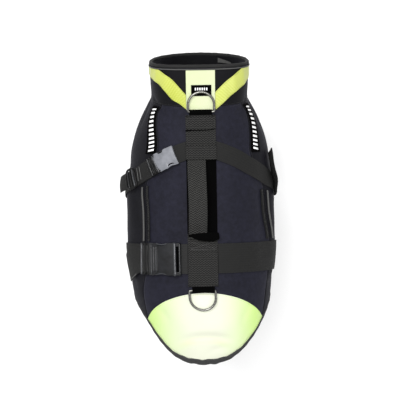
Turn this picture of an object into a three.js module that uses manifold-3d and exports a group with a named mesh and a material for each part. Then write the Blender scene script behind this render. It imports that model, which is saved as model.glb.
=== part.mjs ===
// Dog life jacket: a neoprene vest with a neck tube, foam in its flanks, a lifting handle,
// two leash rings and two girth straps with side-release buckles, filled out with no wearer.
// Millimetres. +Y points to the head, +Z up out of the back, +X to the wearer's right.
// The origin is on the inner face of the back panel, on the spine at the withers.
import * as THREE from "three";
import { mergeVertices } from "three/addons/utils/BufferGeometryUtils.js";
import Module from "manifold-3d";

const wasm = await Module();
wasm.setup();

// Driving dimensions.
const CLOTH = 4; // neoprene
const FOAM = 9; // flotation foam inside a flank, at its thickest
const SEAM_GAP = 0.5; // between two panels that are sewn together
const LIFT = 0.5; // between a panel and what is sewn on it
const STRAP_LIFT = 0.85; // between a panel and a strap drawn round it
const NEON = 1; // reflective cloth
const WEBBING = 1.6;
const STRAP_WIDTH = 30; // upper girth strap
const BELLY_WIDTH = 50; // belly strap
const SPINE_WIDTH = 49.6; // webbing along the spine
const WIRE = 2; // radius of a leash ring's wire
const RING_HALF_WIDTH = 21.8; // leash ring, bar centre to arm centre
const RING_LENGTH = 33; // leash ring, bar centre to the crown of its arc
const BINDING = 3; // radius of a bound edge
const BAR_CLEAR = 0.4; // between a ring's bar and the webbing round it
const MM_A_DEGREE = 2.1; // along the cloth, round the body, near the side seams

// Stations are places along the spine, as the Y of a ring's highest point.
const COLLAR_SEAM = 72;
const COLLAR_END = 134;
const FRONT_BAR = 64; // bar of the front leash ring
const REAR_BAR = -233.8;
const FRONT_KEEPER_END = 34;
const REAR_KEEPER_END = -170;
const BAND_FRONT = 7.7; // the wide band that holds the handle's front end
const BAND_REAR = -16.4;
const HANDLE_LANDING = -140;
const BELLY_STATION = -181.5;
const POCKET_FRONT_LEFT = -59;
const POCKET_FRONT_RIGHT = -68;
const POCKET_REAR = -152;
const TAIL_FRONT = -238.6; // front edge of the neon tail panel, on the spine
const TAIL_CORNER = 62.5; // degrees from the spine, where that edge meets the hem
const TAIL_BEND = 1.9; // how sharply that edge curves back
const LOWER_SEAM = 130; // degrees from the spine, between flank and chest panel
const ARMHOLE = { station: 4, angle: LOWER_SEAM, halfLength: 48, halfAngle: 22 };

// Rings of the inner face, from the neck to the tail. A ring stands on its highest and lowest point,
// and `lean` moves it sideways.
const RINGS = [
  { spineY: 140, spineZ: 23.5, keelY: 180.5, keelZ: -146, half: 80, wide: 0.38, square: 2.9, lean: 0 },
  { spineY: 104, spineZ: 14, keelY: 153, keelZ: -160, half: 80, wide: 0.4, square: 2.8, lean: 0 },
  { spineY: 72, spineZ: 6.5, keelY: 126, keelZ: -178, half: 79.5, wide: 0.44, square: 2.5, lean: 0 },
  { spineY: 58, spineZ: 4.2, keelY: 114, keelZ: -198, half: 86.5, wide: 0.47, square: 2.35, lean: 0 },
  { spineY: 40, spineZ: 2.4, keelY: 90, keelZ: -226, half: 98.5, wide: 0.46, square: 2.25, lean: 0 },
  { spineY: 15, spineZ: 0.6, keelY: 50, keelZ: -256, half: 111.5, wide: 0.445, square: 2.2, lean: 0 },
  { spineY: -15, spineZ: -0.2, keelY: 6, keelZ: -276, half: 118.5, wide: 0.43, square: 2.15, lean: 0 },
  { spineY: -50, spineZ: -0.5, keelY: -40, keelZ: -286, half: 118, wide: 0.42, square: 2.1, lean: 0 },
  { spineY: -100, spineZ: -1, keelY: -98, keelZ: -288, half: 117.5, wide: 0.415, square: 2.1, lean: 0 },
  { spineY: -150, spineZ: -1.5, keelY: -150, keelZ: -282, half: 117.5, wide: 0.415, square: 2.1, lean: 0 },
  { spineY: -200, spineZ: -2.2, keelY: -200, keelZ: -270, half: 118.5, wide: 0.42, square: 2.1, lean: 0 },
  { spineY: -240, spineZ: -4, keelY: -240, keelZ: -256, half: 117, wide: 0.43, square: 2.1, lean: 0 },
  { spineY: -290, spineZ: -10, keelY: -290, keelZ: -240, half: 105.5, wide: 0.45, square: 2.1, lean: 3.4 },
  { spineY: -330, spineZ: -19, keelY: -330, keelZ: -225, half: 98.5, wide: 0.47, square: 2.1, lean: 2.8 },
  { spineY: -372, spineZ: -33, keelY: -372, keelZ: -208, half: 88, wide: 0.5, square: 2.1, lean: 1.2 },
];
const KEEL_SQUARE = 2.05; // the lower half of a ring is never squarer than this

// The outline of the rear hem, tail tip to belly: degrees from the spine, and the station there.
const HEM = [
  { angle: 0, station: -360.6 },
  { angle: 12, station: -358.8 },
  { angle: 24, station: -353.6 },
  { angle: 37, station: -340 },
  { angle: 52, station: -314.5 },
  { angle: 66, station: -288 },
  { angle: 80, station: -264 },
  { angle: 95, station: -248 },
  { angle: 110, station: -237 },
  { angle: 130, station: -229 },
  { angle: 155, station: -223 },
  { angle: 180, station: -221 },
];

// The seams between back panel and flanks: station, and degrees from the spine. The strap's pull
// has drawn the left seam up, so the two sides differ.
const SIDE_SEAM = [
  { station: 72, left: 46.5, right: 51.5 },
  { station: 58, left: 48.3, right: 54.4 },
  { station: 45, left: 45.3, right: 52.4 },
  { station: 16, left: 37.2, right: 44.6 },
  { station: -8, left: 36.4, right: 42.6 },
  { station: -32, left: 42, right: 49 },
  { station: -60, left: 49.6, right: 58.6 },
  { station: -105, left: 49, right: 61.8 },
  { station: -155, left: 49.4, right: 67 },
  { station: -206, left: 52, right: 65.5 },
  { station: -245, left: 57, right: 62.5 },
  { station: -290, left: 62.5, right: 62.5 },
];

// The upper girth strap slants back from the spine: degrees from the spine, and its middle's station.
const UPPER_ROUTE = [
  { angle: 0, station: 5 },
  { angle: 13, station: -2 },
  { angle: 28, station: -15 },
  { angle: 40, station: -28 },
  { angle: 66, station: -49.5 },
  { angle: 90, station: -64 },
  { angle: 130, station: -85 },
  { angle: 180, station: -94 },
];

const RADIANS = Math.PI / 180;
const lerp = THREE.MathUtils.lerp;
const clamp = THREE.MathUtils.clamp;
const smoothstep = THREE.MathUtils.smoothstep;

// Smooth curve through a table's rows, read at `at` in column `key`.
function curveThrough(table, key, column, at) {
  const rising = table[1][key] > table[0][key] ? 1 : -1;
  let i = 0;
  while (i < table.length - 2 && (table[i + 1][key] - at) * rising < 0) i++;
  const slope = (j) => {
    const before = table[Math.max(j - 1, 0)];
    const after = table[Math.min(j + 1, table.length - 1)];
    return (after[column] - before[column]) / (after[key] - before[key]);
  };
  const [a, b] = [table[i], table[i + 1]];
  const span = b[key] - a[key];
  const t = clamp((at - a[key]) / span, 0, 1);
  const [t2, t3] = [t * t, t * t * t];
  return (
    (2 * t3 - 3 * t2 + 1) * a[column] +
    (t3 - 2 * t2 + t) * span * slope(i) +
    (3 * t2 - 2 * t3) * b[column] +
    (t3 - t2) * span * slope(i + 1)
  );
}

// Degrees from the spine, 0 to 180, of an angle that may run round the body.
function fold(angle) {
  const turned = Math.abs(((angle % 360) + 360) % 360);
  return turned > 180 ? 360 - turned : turned;
}

const hemStation = (angle) => curveThrough(HEM, "angle", "station", fold(angle));
const seamAngle = (station, sign) =>
  curveThrough(SIDE_SEAM, "station", sign < 0 ? "left" : "right", station);
const upperStation = (angle) => curveThrough(UPPER_ROUTE, "angle", "station", fold(angle));

// A point of the inner face, by station and by degrees from the spine (right is positive).
function innerPoint(station, angle) {
  const ring = {};
  for (const column of ["spineZ", "keelY", "keelZ", "half", "wide", "square", "lean"])
    ring[column] = curveThrough(RINGS, "spineY", column, station);
  const [sine, cosine] = [Math.sin(angle * RADIANS), Math.cos(angle * RADIANS)];
  const power = cosine > 0 ? ring.square : Math.min(ring.square, KEEL_SQUARE);
  const reach = (Math.abs(sine) ** power + Math.abs(cosine) ** power) ** (-1 / power);
  const share = cosine > 0 ? ring.wide : 1 - ring.wide;
  const fall = ring.wide - share * reach * cosine;
  return new THREE.Vector3(
    ring.lean + ring.half * reach * sine,
    lerp(station, ring.keelY, fall),
    lerp(ring.spineZ, ring.keelZ, fall),
  );
}

// The two directions along the inner face at a place, per station and per degree, and the way out.
function facing(station, angle) {
  const step = 0.5;
  const along = innerPoint(station + step, angle).sub(innerPoint(station - step, angle));
  const around = innerPoint(station, angle + step).sub(innerPoint(station, angle - step));
  const out = new THREE.Vector3().crossVectors(around, along).normalize();
  return { along, around, out };
}

// A point moved out from the inner face.
function raised(station, angle, out) {
  return innerPoint(station, angle).addScaledVector(facing(station, angle).out, out);
}

// How far the outer face of the cloth lies from the inner face: the flanks hold foam.
function skin(station, angle) {
  const a = fold(angle);
  const front = smoothstep(-station, 18, 62);
  const rear = 1 - smoothstep(-station, 150, 245);
  const upper = smoothstep(a, 53, 78);
  const lower = 1 - smoothstep(a, 84, 118);
  return CLOTH + FOAM * front * rear * upper * lower;
}

// A closed body from corner points and four-cornered faces, faces turned outwards.
function body(points, quads) {
  const geometry = new THREE.BufferGeometry().setFromPoints(points);
  geometry.setIndex(quads.flatMap(([a, b, c, d]) => [a, b, c, a, c, d]));
  const merged = mergeVertices(geometry, 1e-3);
  const index = [];
  const old = merged.index.array;
  for (let i = 0; i < old.length; i += 3) {
    const [a, b, c] = [old[i], old[i + 1], old[i + 2]];
    if (a !== b && b !== c && c !== a) index.push(a, b, c);
  }
  merged.setIndex(index);
  if (volumeOf(merged) < 0) merged.setIndex(index.reverse());
  return merged;
}

function volumeOf(geometry) {
  const place = geometry.attributes.position;
  const index = geometry.index.array;
  const corner = (i) => new THREE.Vector3().fromBufferAttribute(place, index[i]);
  let sum = 0;
  for (let i = 0; i < index.length; i += 3)
    sum += corner(i).dot(corner(i + 1).cross(corner(i + 2)));
  return sum / 6;
}

// A wall between two grids of points. pointAt(u, v, face) gives a corner; face is 0 inside, 1 outside.
// With `round`, the last column is the first again.
function wall(rows, columns, pointAt, round = false) {
  const across = round ? columns : columns + 1;
  const points = [];
  for (const face of [0, 1])
    for (let i = 0; i <= rows; i++)
      for (let j = 0; j < across; j++) points.push(pointAt(i / rows, j / columns, face));
  const corner = (i, j, face) => (face * (rows + 1) + i) * across + (j % across);
  const quads = [];
  const cells = round ? columns : across - 1;
  for (let i = 0; i < rows; i++)
    for (let j = 0; j < cells; j++) {
      const next = round ? (j + 1) % columns : j + 1;
      quads.push([corner(i, j, 1), corner(i, next, 1), corner(i + 1, next, 1), corner(i + 1, j, 1)]);
      quads.push([corner(i, j, 0), corner(i + 1, j, 0), corner(i + 1, next, 0), corner(i, next, 0)]);
    }
  for (let j = 0; j < cells; j++) {
    const next = round ? (j + 1) % columns : j + 1;
    quads.push([corner(0, next, 1), corner(0, j, 1), corner(0, j, 0), corner(0, next, 0)]);
    quads.push([corner(rows, j, 1), corner(rows, next, 1), corner(rows, next, 0), corner(rows, j, 0)]);
  }
  if (!round)
    for (let i = 0; i < rows; i++) {
      quads.push([corner(i, 0, 1), corner(i + 1, 0, 1), corner(i + 1, 0, 0), corner(i, 0, 0)]);
      const last = columns;
      quads.push([corner(i + 1, last, 1), corner(i, last, 1), corner(i, last, 0), corner(i + 1, last, 0)]);
    }
  return body(points, quads);
}

// A rod through rings of points, each ring convex: a loop, or closed by a fan at each end.
function rod(rings, loop) {
  const sides = rings[0].length;
  const quads = [];
  const last = loop ? rings.length : rings.length - 1;
  for (let i = 0; i < last; i++)
    for (let j = 0; j < sides; j++) {
      const [near, far] = [i * sides, ((i + 1) % rings.length) * sides];
      const next = (j + 1) % sides;
      quads.push([near + j, near + next, far + next, far + j]);
    }
  if (!loop)
    for (let j = 1; j < sides - 1; j++) {
      quads.push([0, j + 1, j, 0]);
      const end = (rings.length - 1) * sides;
      quads.push([end, end + j, end + j + 1, end]);
    }
  return body(rings.flat(), quads);
}

// A ring of `sides` corners round a point, in the plane of two directions.
function ringOf(centre, first, second, radius, sides) {
  return Array.from({ length: sides }, (_, k) => {
    const turn = ((k + 0.5) / sides) * 2 * Math.PI;
    return centre
      .clone()
      .addScaledVector(first, Math.cos(turn) * radius)
      .addScaledVector(second, Math.sin(turn) * radius);
  });
}

// A round roll along a route on the body. route(t) gives [station, angle, out].
function roll(route, steps, radius, sides, loop) {
  const place = (t) => raised(...route(t));
  const rings = [];
  const count = loop ? steps : steps + 1;
  for (let i = 0; i < count; i++) {
    const t = i / steps;
    const ahead = place(t + 0.002).sub(place(t - 0.002)).normalize();
    const [station, angle] = route(t);
    const out = facing(station, angle).out;
    const side = new THREE.Vector3().crossVectors(ahead, out).normalize();
    const up = new THREE.Vector3().crossVectors(side, ahead);
    rings.push(ringOf(place(t), side, up, radius, sides));
  }
  return rod(rings, loop);
}

// The station and angle that lie `offset` beside a route, positive to the right of its direction.
function beside(route, t, offset) {
  const [station, angle] = route(t);
  const step = 0.5;
  const outer = (s, a) => raised(s, a, CLOTH);
  const along = outer(station + step, angle).sub(outer(station - step, angle));
  const around = outer(station, angle + step).sub(outer(station, angle - step));
  const out = new THREE.Vector3().crossVectors(around, along).normalize();
  const [s0, a0] = route(t - 0.5);
  const [s1, a1] = route(t + 0.5);
  const ahead = along.clone().multiplyScalar(s1 - s0).addScaledVector(around, a1 - a0).normalize();
  const side = new THREE.Vector3().crossVectors(ahead, out);
  const [aa, ab, bb] = [along.dot(along), along.dot(around), around.dot(around)];
  const [sa, sb] = [side.dot(along), side.dot(around)];
  const area = aa * bb - ab * ab;
  return [
    station + (offset * (sa * bb - sb * ab)) / area,
    angle + (offset * (sb * aa - sa * ab)) / area,
  ];
}

// Webbing or a plate along a route. from and to may depend on the offset from the route's middle.
// left and right are half widths, or functions of the share of the length; lift is over the cloth.
function ribbon(strip) {
  const { route, from, to, steps, left, right = left } = strip;
  const { across = 4, lift = STRAP_LIFT, thick = WEBBING } = strip;
  const value = (v, at) => (typeof v === "function" ? v(at) : v);
  return wall(steps, across, (u, v, face) => {
    const offset = lerp(-value(left, u), value(right, u), v);
    const t = lerp(value(from, offset), value(to, offset), u);
    const [station, angle] = beside(route, t, offset);
    return raised(station, angle, skin(station, angle) + value(lift, u) + face * value(thick, u));
  });
}

// Degrees from the spine at which a point of the outer face lies `x` from the middle plane.
function angleAt(x, station, out = CLOTH) {
  let [low, high] = [0, 90];
  for (let i = 0; i < 30; i++) {
    const middle = (low + high) / 2;
    if (raised(station, middle, out).x < x) low = middle;
    else high = middle;
  }
  return low;
}

// Where a route, `offset` beside its middle, crosses the plane that lies `x` from the middle plane.
function crossing(route, x, sign) {
  return (offset) => {
    let [low, high] = [0, 80];
    for (let i = 0; i < 24; i++) {
      const middle = (low + high) / 2;
      const [station, angle] = beside(route, sign * middle, offset);
      if (Math.abs(raised(station, angle, CLOTH).x) < x) low = middle;
      else high = middle;
    }
    return sign * low;
  };
}

// One solid less others.
function cut(geometry, tools) {
  const solid = (g) => {
    const mesh = new wasm.Mesh({
      numProp: 3,
      vertProperties: new Float32Array(g.attributes.position.array),
      triVerts: new Uint32Array(g.index.array),
    });
    return new wasm.Manifold(mesh);
  };
  let left = solid(geometry);
  for (const tool of tools) left = left.subtract(solid(tool));
  const mesh = left.getMesh();
  const result = new THREE.BufferGeometry();
  result.setAttribute("position", new THREE.BufferAttribute(mesh.vertProperties, 3));
  result.setIndex(Array.from(mesh.triVerts));
  return result;
}

// Materials.
const finish = (color, roughness, metalness = 0) =>
  new THREE.MeshStandardMaterial({ color, roughness, metalness });
const neoprene = finish(0x24242c, 0.85);
const neon = finish(0xdcf04a, 0.6);
const label = finish(0x141414, 0.7);
const binding = finish(0x1b1b1d, 0.7);
const piping = finish(0x77777a, 0.6);
const webbing = finish(0x333333, 0.8);
const plastic = finish(0x2a2b30, 0.4);
const silver = finish(0x77797e, 0.35);
const steel = finish(0xb0b0b0, 0.25, 1);

const jacket = new THREE.Group();
function add(name, geometry, material) {
  const mesh = new THREE.Mesh(geometry, material);
  mesh.name = name;
  jacket.add(mesh);
}

// The station and angle of a place in a panel, from its rear edge and its two side edges.
// hollow(station) is how far, in degrees, an armhole bites into each side edge.
function between(u, v, tail, first, second, hollow = () => [0, 0]) {
  let rear = tail(lerp(TAIL_CORNER, LOWER_SEAM, v));
  for (let i = 0; i < 8; i++) rear = tail(lerp(first(rear), second(rear), v));
  const station = lerp(COLLAR_SEAM - SEAM_GAP / 2, rear, u);
  const [near, far] = hollow(station);
  return [station, lerp(first(station) + near, second(station) - far, v)];
}

// A panel's place, moved out to its face.
const onFace = ([station, angle], face) => raised(station, angle, face ? skin(station, angle) : 0);

// How far a distance across the hem reaches along the station there.
function hemInset(angle, distance) {
  const a = fold(angle);
  const step = 2;
  const rise = hemStation(Math.min(a + step, 180)) - hemStation(Math.max(a - step, 0));
  const turn = Math.min(a + step, 180) - Math.max(a - step, 0);
  const width = facing(hemStation(a), a).around.length() * turn;
  return distance * Math.hypot(1, rise / width);
}
const clothHem = (angle) => hemStation(angle) + hemInset(angle, 2 * BINDING + SEAM_GAP);
const tailEdge = (angle) =>
  TAIL_FRONT + (clothHem(TAIL_CORNER) - TAIL_FRONT) * (Math.abs(angle) / TAIL_CORNER) ** TAIL_BEND;

// Half the angle of an armhole at a station, grown by a distance; nothing past its ends.
function armholeHalf(station, grow) {
  const share = (station - ARMHOLE.station) / (ARMHOLE.halfLength + grow);
  const perDegree = facing(ARMHOLE.station, ARMHOLE.angle).around.length();
  return Math.sqrt(Math.max(0, 1 - share * share)) * (ARMHOLE.halfAngle + grow / perDegree);
}

const GAP_ANGLE = SEAM_GAP / 2 / MM_A_DEGREE; // half a seam's gap, in degrees
const ARMHOLE_GROWTH = BINDING + 2.4 * SEAM_GAP;

// Shares along a panel, crowded where the armhole's ends are steep.
const PANEL_ROWS = [];
{
  const tail = clothHem(LOWER_SEAM);
  const share = (station) => (COLLAR_SEAM - station) / (COLLAR_SEAM - tail);
  const reach = ARMHOLE.halfLength + ARMHOLE_GROWTH;
  const holeSteps = 8;
  const headSteps = 3;
  for (let i = 0; i < headSteps; i++)
    PANEL_ROWS.push((share(ARMHOLE.station + reach) * i) / headSteps);
  for (let i = 0; i <= holeSteps; i++)
    PANEL_ROWS.push(share(ARMHOLE.station + reach * Math.cos((i / holeSteps) * Math.PI)));
  const rest = PANEL_ROWS.at(-1);
  const restSteps = 10;
  for (let i = 1; i <= restSteps; i++) PANEL_ROWS.push(lerp(rest, 1, i / restSteps));
}
const rowShare = (u) => PANEL_ROWS[Math.round(u * (PANEL_ROWS.length - 1))];

// Collar: the neck tube.
{
  const stationAt = (u) => lerp(COLLAR_SEAM + SEAM_GAP / 2, COLLAR_END, u);
  const collar = wall(4, 40, (u, v, face) => raised(stationAt(u), v * 360, face * CLOTH), true);
  add("collar", collar, neoprene);
}

// Back panel, between the two side seams, from the collar seam to the tail panel.
function backPlace(u, v) {
  const tail = (angle) => tailEdge(angle) + SEAM_GAP / 2;
  const edge = (sign) => (station) => sign * (seamAngle(station, sign) - GAP_ANGLE);
  return between(u, v, tail, edge(-1), edge(1));
}
const LAST_ROW = PANEL_ROWS.length - 1;
const BACK_COLUMNS = 12;
add(
  "back_panel",
  wall(LAST_ROW, BACK_COLUMNS, (u, v, face) => onFace(backPlace(rowShare(u), v), face)),
  neoprene,
);

// Flanks: thick with foam, cut out for the upper half of the armholes.
for (const [side, sign] of [["left", -1], ["right", 1]]) {
  const upper = (station) => seamAngle(station, sign) + GAP_ANGLE;
  const lower = () => LOWER_SEAM - GAP_ANGLE;
  const hollow = (station) => [0, armholeHalf(station, ARMHOLE_GROWTH)];
  const flank = wall(LAST_ROW, 11, (u, v, face) => {
    const [station, angle] = between(rowShare(u), v, clothHem, upper, lower, hollow);
    return onFace([station, sign * angle], face);
  });
  add(`flank_${side}`, flank, neoprene);
}

// Chest panel: throat, chest and belly, cut out for the lower half of the armholes.
{
  const right = () => LOWER_SEAM + GAP_ANGLE;
  const left = () => 360 - right();
  const hollow = (station) => Array(2).fill(armholeHalf(station, ARMHOLE_GROWTH));
  const chest = wall(LAST_ROW, 12, (u, v, face) =>
    onFace(between(rowShare(u), v, clothHem, right, left, hollow), face),
  );
  add("chest_panel", chest, neoprene);
}

// Tail panel: a neon lens between the back panel's edge and the hem.
{
  const tail = wall(7, BACK_COLUMNS, (u, v, face) => {
    const angle = backPlace(1, v)[1];
    const front = Math.max(tailEdge(angle) - SEAM_GAP / 2, clothHem(angle));
    return raised(lerp(front, clothHem(angle), u), angle, face * CLOTH);
  });
  add("tail_panel", tail, neon);
}

// Nape patch and its label.
const PATCH_HALF = 24.6;
const BAND_END = COLLAR_END - 2.6; // the neon cloth stops short of the neck piping
const PATCH_OUT = CLOTH + LIFT;
{
  const patch = wall(8, 6, (u, v, face) => {
    const station = lerp(FRONT_BAR + 3, BAND_END, u);
    const half = angleAt(PATCH_HALF, station, PATCH_OUT);
    return raised(station, lerp(-half, half, v), PATCH_OUT + face * NEON);
  });
  add("nape_patch", patch, neon);
  const [labelLeft, labelRight, labelRear, labelFront] = [-15, 18.4, 90, 108];
  const nape = wall(2, 4, (u, v, face) => {
    const station = lerp(labelRear, labelFront, u);
    const x = lerp(labelLeft, labelRight, v);
    const angle = Math.sign(x) * angleAt(Math.abs(x), station, PATCH_OUT);
    return raised(station, angle, PATCH_OUT + NEON + LIFT + face * NEON);
  });
  add("nape_label", nape, label);
}

// Neon bands from the patch up and round to the neck edge: their rear edge, and their front edge.
const BAND_REAR_EDGE = [
  { angle: 10, station: 60 },
  { angle: 14, station: 66 },
  { angle: 24.5, station: 77.5 },
  { angle: 35, station: 89.5 },
  { angle: 46, station: 99 },
  { angle: 65, station: 108.5 },
  { angle: 84, station: 114.5 },
  { angle: 105, station: 123.5 },
  { angle: 120, station: BAND_END },
];
const BAND_FRONT_EDGE = [
  { angle: 10, station: 88 },
  { angle: 16, station: 96.5 },
  { angle: 26, station: 110.5 },
  { angle: 36, station: 120.5 },
  { angle: 48, station: 131 },
  { angle: 60, station: 142 },
];
for (const [side, sign] of [["left", -1], ["right", 1]]) {
  const bandWall = wall(20, 3, (u, v, face) => {
    const start = angleAt(PATCH_HALF + SEAM_GAP, lerp(70, BAND_END, u), PATCH_OUT);
    const angle = lerp(start, BAND_REAR_EDGE.at(-1).angle, u);
    const rear = curveThrough(BAND_REAR_EDGE, "angle", "station", angle);
    const front = Math.min(BAND_END, curveThrough(BAND_FRONT_EDGE, "angle", "station", angle));
    const station = lerp(Math.min(rear, BAND_END), front, v);
    const clear = angleAt(PATCH_HALF + SEAM_GAP, station, PATCH_OUT);
    return raised(station, sign * Math.max(angle, clear), PATCH_OUT + face * NEON);
  });
  add(`v_band_${side}`, bandWall, neon);
}

// Neck edge: a bound roll, and a thin piping behind it.
add(
  "neck_binding",
  roll((t) => [COLLAR_END + SEAM_GAP + BINDING, t * 360, CLOTH / 2], 40, BINDING, 6, true),
  binding,
);
{
  const radius = 0.8;
  const route = (t) => [COLLAR_END - radius - 0.4, t * 360, CLOTH + radius + LIFT];
  add("neck_piping", roll(route, 40, radius, 4, true), piping);
}

// Tab inside the neck.
{
  const tab = wall(2, 4, (u, v, face) => {
    const angle = lerp(142, 157, v);
    return raised(lerp(122, 125 + 6 * v, u), angle, -LIFT - NEON + face * NEON);
  });
  add("collar_tab", tab, piping);
}

// Rear hem and armholes: bound rolls.
add(
  "hem_binding",
  roll((t) => [hemStation(t * 360) + hemInset(t * 360, BINDING), t * 360, CLOTH / 2], 72, BINDING, 6, true),
  binding,
);
for (const [side, sign] of [["left", -1], ["right", 1]]) {
  const route = (t) => [
    ARMHOLE.station + ARMHOLE.halfLength * Math.cos(t * 2 * Math.PI),
    sign * (ARMHOLE.angle + ARMHOLE.halfAngle * Math.sin(t * 2 * Math.PI)),
    CLOTH / 2,
  ];
  add(`armhole_binding_${side}`, roll(route, 32, BINDING, 6, true), binding);
}

// Strips on the shoulders, beside the side seams.
for (const [side, sign] of [["left", -1], ["right", 1]]) {
  const strip = wall(12, 3, (u, v, face) => {
    const station = lerp(67, -7, u);
    const angle = seamAngle(station, sign) + lerp(1.2, 12, v);
    return raised(station, sign * angle, skin(station, angle) + LIFT + face * NEON);
  });
  add(`side_strip_${side}`, strip, label);
}

// Pockets: a zip on the back panel's edge and a double piping on the flank's edge.
for (const [side, sign] of [["left", -1], ["right", 1]]) {
  const front = sign < 0 ? POCKET_FRONT_LEFT : POCKET_FRONT_RIGHT;
  const zipHalf = sign < 0 ? 2.8 : 4;
  const zipRoute = (t) => [t, sign * (seamAngle(t, sign) - (sign < 0 ? 2.6 : 3.8))];
  add(
    `pocket_zip_${side}`,
    ribbon({ route: zipRoute, from: front, to: POCKET_REAR, steps: 14, left: zipHalf, across: 2 }),
    webbing,
  );
  const radius = 1.5;
  const route = (t) => {
    const station = lerp(front - 2, POCKET_REAR, t);
    const angle = seamAngle(station, sign) + 3;
    return [station, sign * angle, skin(station, angle) + radius + STRAP_LIFT];
  };
  add(`pocket_piping_${side}`, roll(route, 16, radius, 6, false), piping);
}

// Webbing along the spine.
const spine = (t) => [t, 0];
const SPINE_HALF = SPINE_WIDTH / 2;
const spineStrip = (from, to, steps, more = {}) =>
  ribbon({ route: spine, from, to, steps, left: SPINE_HALF, lift: LIFT, ...more });
const SECOND_LAYER = LIFT + WEBBING + LIFT;
const BAR_TO_WEBBING = 5.6; // the webbing below starts this far behind a ring's bar
add("spine_webbing_front", spineStrip(FRONT_BAR - BAR_TO_WEBBING, BAND_REAR, 9), webbing);
add("handle_backing", spineStrip(BAND_REAR - SEAM_GAP, HANDLE_LANDING + SEAM_GAP, 9, { thick: 1.2 }), label);
add("spine_webbing_rear", spineStrip(HANDLE_LANDING, REAR_BAR + BAR_TO_WEBBING, 9), webbing);
add(
  "handle_band",
  spineStrip(BAND_FRONT, BAND_REAR, 4, { lift: SECOND_LAYER, thick: 3 }),
  webbing,
);

// A keeper: flat on the spine webbing, then round the ring's bar. `ahead` is +1 towards the head.
function keeper(bar, end, ahead) {
  const half = WEBBING / 2;
  const flat = CLOTH + SECOND_LAYER + half;
  const turn = WIRE + BAR_CLEAR + half; // radius of the fold's middle round the bar
  const wide = SPINE_HALF - 0.6;
  const narrow = RING_HALF_WIDTH - WIRE - 1; // between the ring's two arms
  const narrowFrom = 7; // distance behind the bar at which the webbing narrows
  const middle = [
    { along: Math.abs(bar - end), out: flat, width: wide },
    { along: Math.abs(bar - end) / 2, out: flat, width: wide },
    { along: narrowFrom + 1.5, out: flat, width: wide },
    { along: narrowFrom - 0.6, out: flat + 0.4, width: narrow },
  ];
  for (let degrees = 120; degrees >= -90; degrees -= 30)
    middle.push({
      along: -turn * Math.cos(degrees * RADIANS),
      out: BAR_OUT + turn * Math.sin(degrees * RADIANS),
      width: narrow,
    });
  middle.push({ along: turn + half / 2, out: BAR_OUT - turn, width: narrow });
  const last = middle.length - 1;
  return wall(last, 4, (u, v, face) => {
    const i = Math.round(u * last);
    const [before, after] = [middle[Math.max(i - 1, 0)], middle[Math.min(i + 1, last)]];
    const slope = new THREE.Vector2(after.along - before.along, after.out - before.out).normalize();
    const side = (face - 0.5) * WEBBING;
    const along = middle[i].along + slope.y * side;
    const out = middle[i].out - slope.x * side;
    const station = bar - ahead * along;
    const x = lerp(-middle[i].width, middle[i].width, v);
    const surface = raised(station, Math.sign(x) * angleAt(Math.abs(x), station), out);
    if (middle[i].along > narrowFrom) return surface;
    // Round the bar the fold is straight across, as the bar is.
    const level = raised(station, 0, out);
    return new THREE.Vector3(x, level.y, level.z);
  });
}

// A leash ring: a straight bar, two arms and a half circle of wire.
const BAR_OUT = CLOTH + LIFT + WEBBING + BAR_CLEAR + WIRE;
const FRONT_CROWN_OUT = CLOTH + 2 * LIFT + 2 * NEON + WIRE + 0.6; // it lies over the nape label
const REAR_CROWN_OUT = CLOTH + WIRE + 0.9;
function leashRing(bar, ahead, crownOut) {
  const hinge = raised(bar, 0, BAR_OUT).setX(0);
  const crown = raised(bar + ahead * RING_LENGTH, 0, crownOut).setX(0);
  const forward = crown.clone().sub(hinge);
  const straight = forward.length() - RING_HALF_WIDTH;
  forward.normalize();
  const across = new THREE.Vector3(1, 0, 0);
  const normal = new THREE.Vector3().crossVectors(across, forward);
  const corner = 2.6; // radius of the ring's two bent corners
  const curve = [];
  const barSteps = 3;
  for (let i = 0; i < barSteps; i++)
    curve.push(new THREE.Vector2(lerp(corner - RING_HALF_WIDTH, RING_HALF_WIDTH - corner, i / barSteps), 0));
  const arc = (cx, cy, radius, from, to, steps) => {
    for (let i = 0; i <= steps; i++) {
      const turn = lerp(from, to, i / steps) * RADIANS;
      curve.push(new THREE.Vector2(cx + radius * Math.cos(turn), cy + radius * Math.sin(turn)));
    }
  };
  arc(RING_HALF_WIDTH - corner, corner, corner, -90, 0, 3);
  arc(0, straight, RING_HALF_WIDTH, 0, 180, 15);
  arc(corner - RING_HALF_WIDTH, corner, corner, 180, 270, 3);
  curve.pop();
  const rings = curve.map((point, i) => {
    const before = curve[(i - 1 + curve.length) % curve.length];
    const after = curve[(i + 1) % curve.length];
    const tangent = after.clone().sub(before).normalize();
    const outward = across
      .clone()
      .multiplyScalar(tangent.y)
      .addScaledVector(forward, -tangent.x);
    const centre = hinge.clone().addScaledVector(across, point.x).addScaledVector(forward, point.y);
    return ringOf(centre, outward, normal, WIRE, 8);
  });
  return rod(rings, true);
}
add("ring_keeper_front", keeper(FRONT_BAR, FRONT_KEEPER_END, 1), webbing);
add("ring_keeper_rear", keeper(REAR_BAR, REAR_KEEPER_END, -1), webbing);
add("ring_front", leashRing(FRONT_BAR, 1, FRONT_CROWN_OUT), steel);
add("ring_rear", leashRing(REAR_BAR, -1, REAR_CROWN_OUT), steel);

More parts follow.
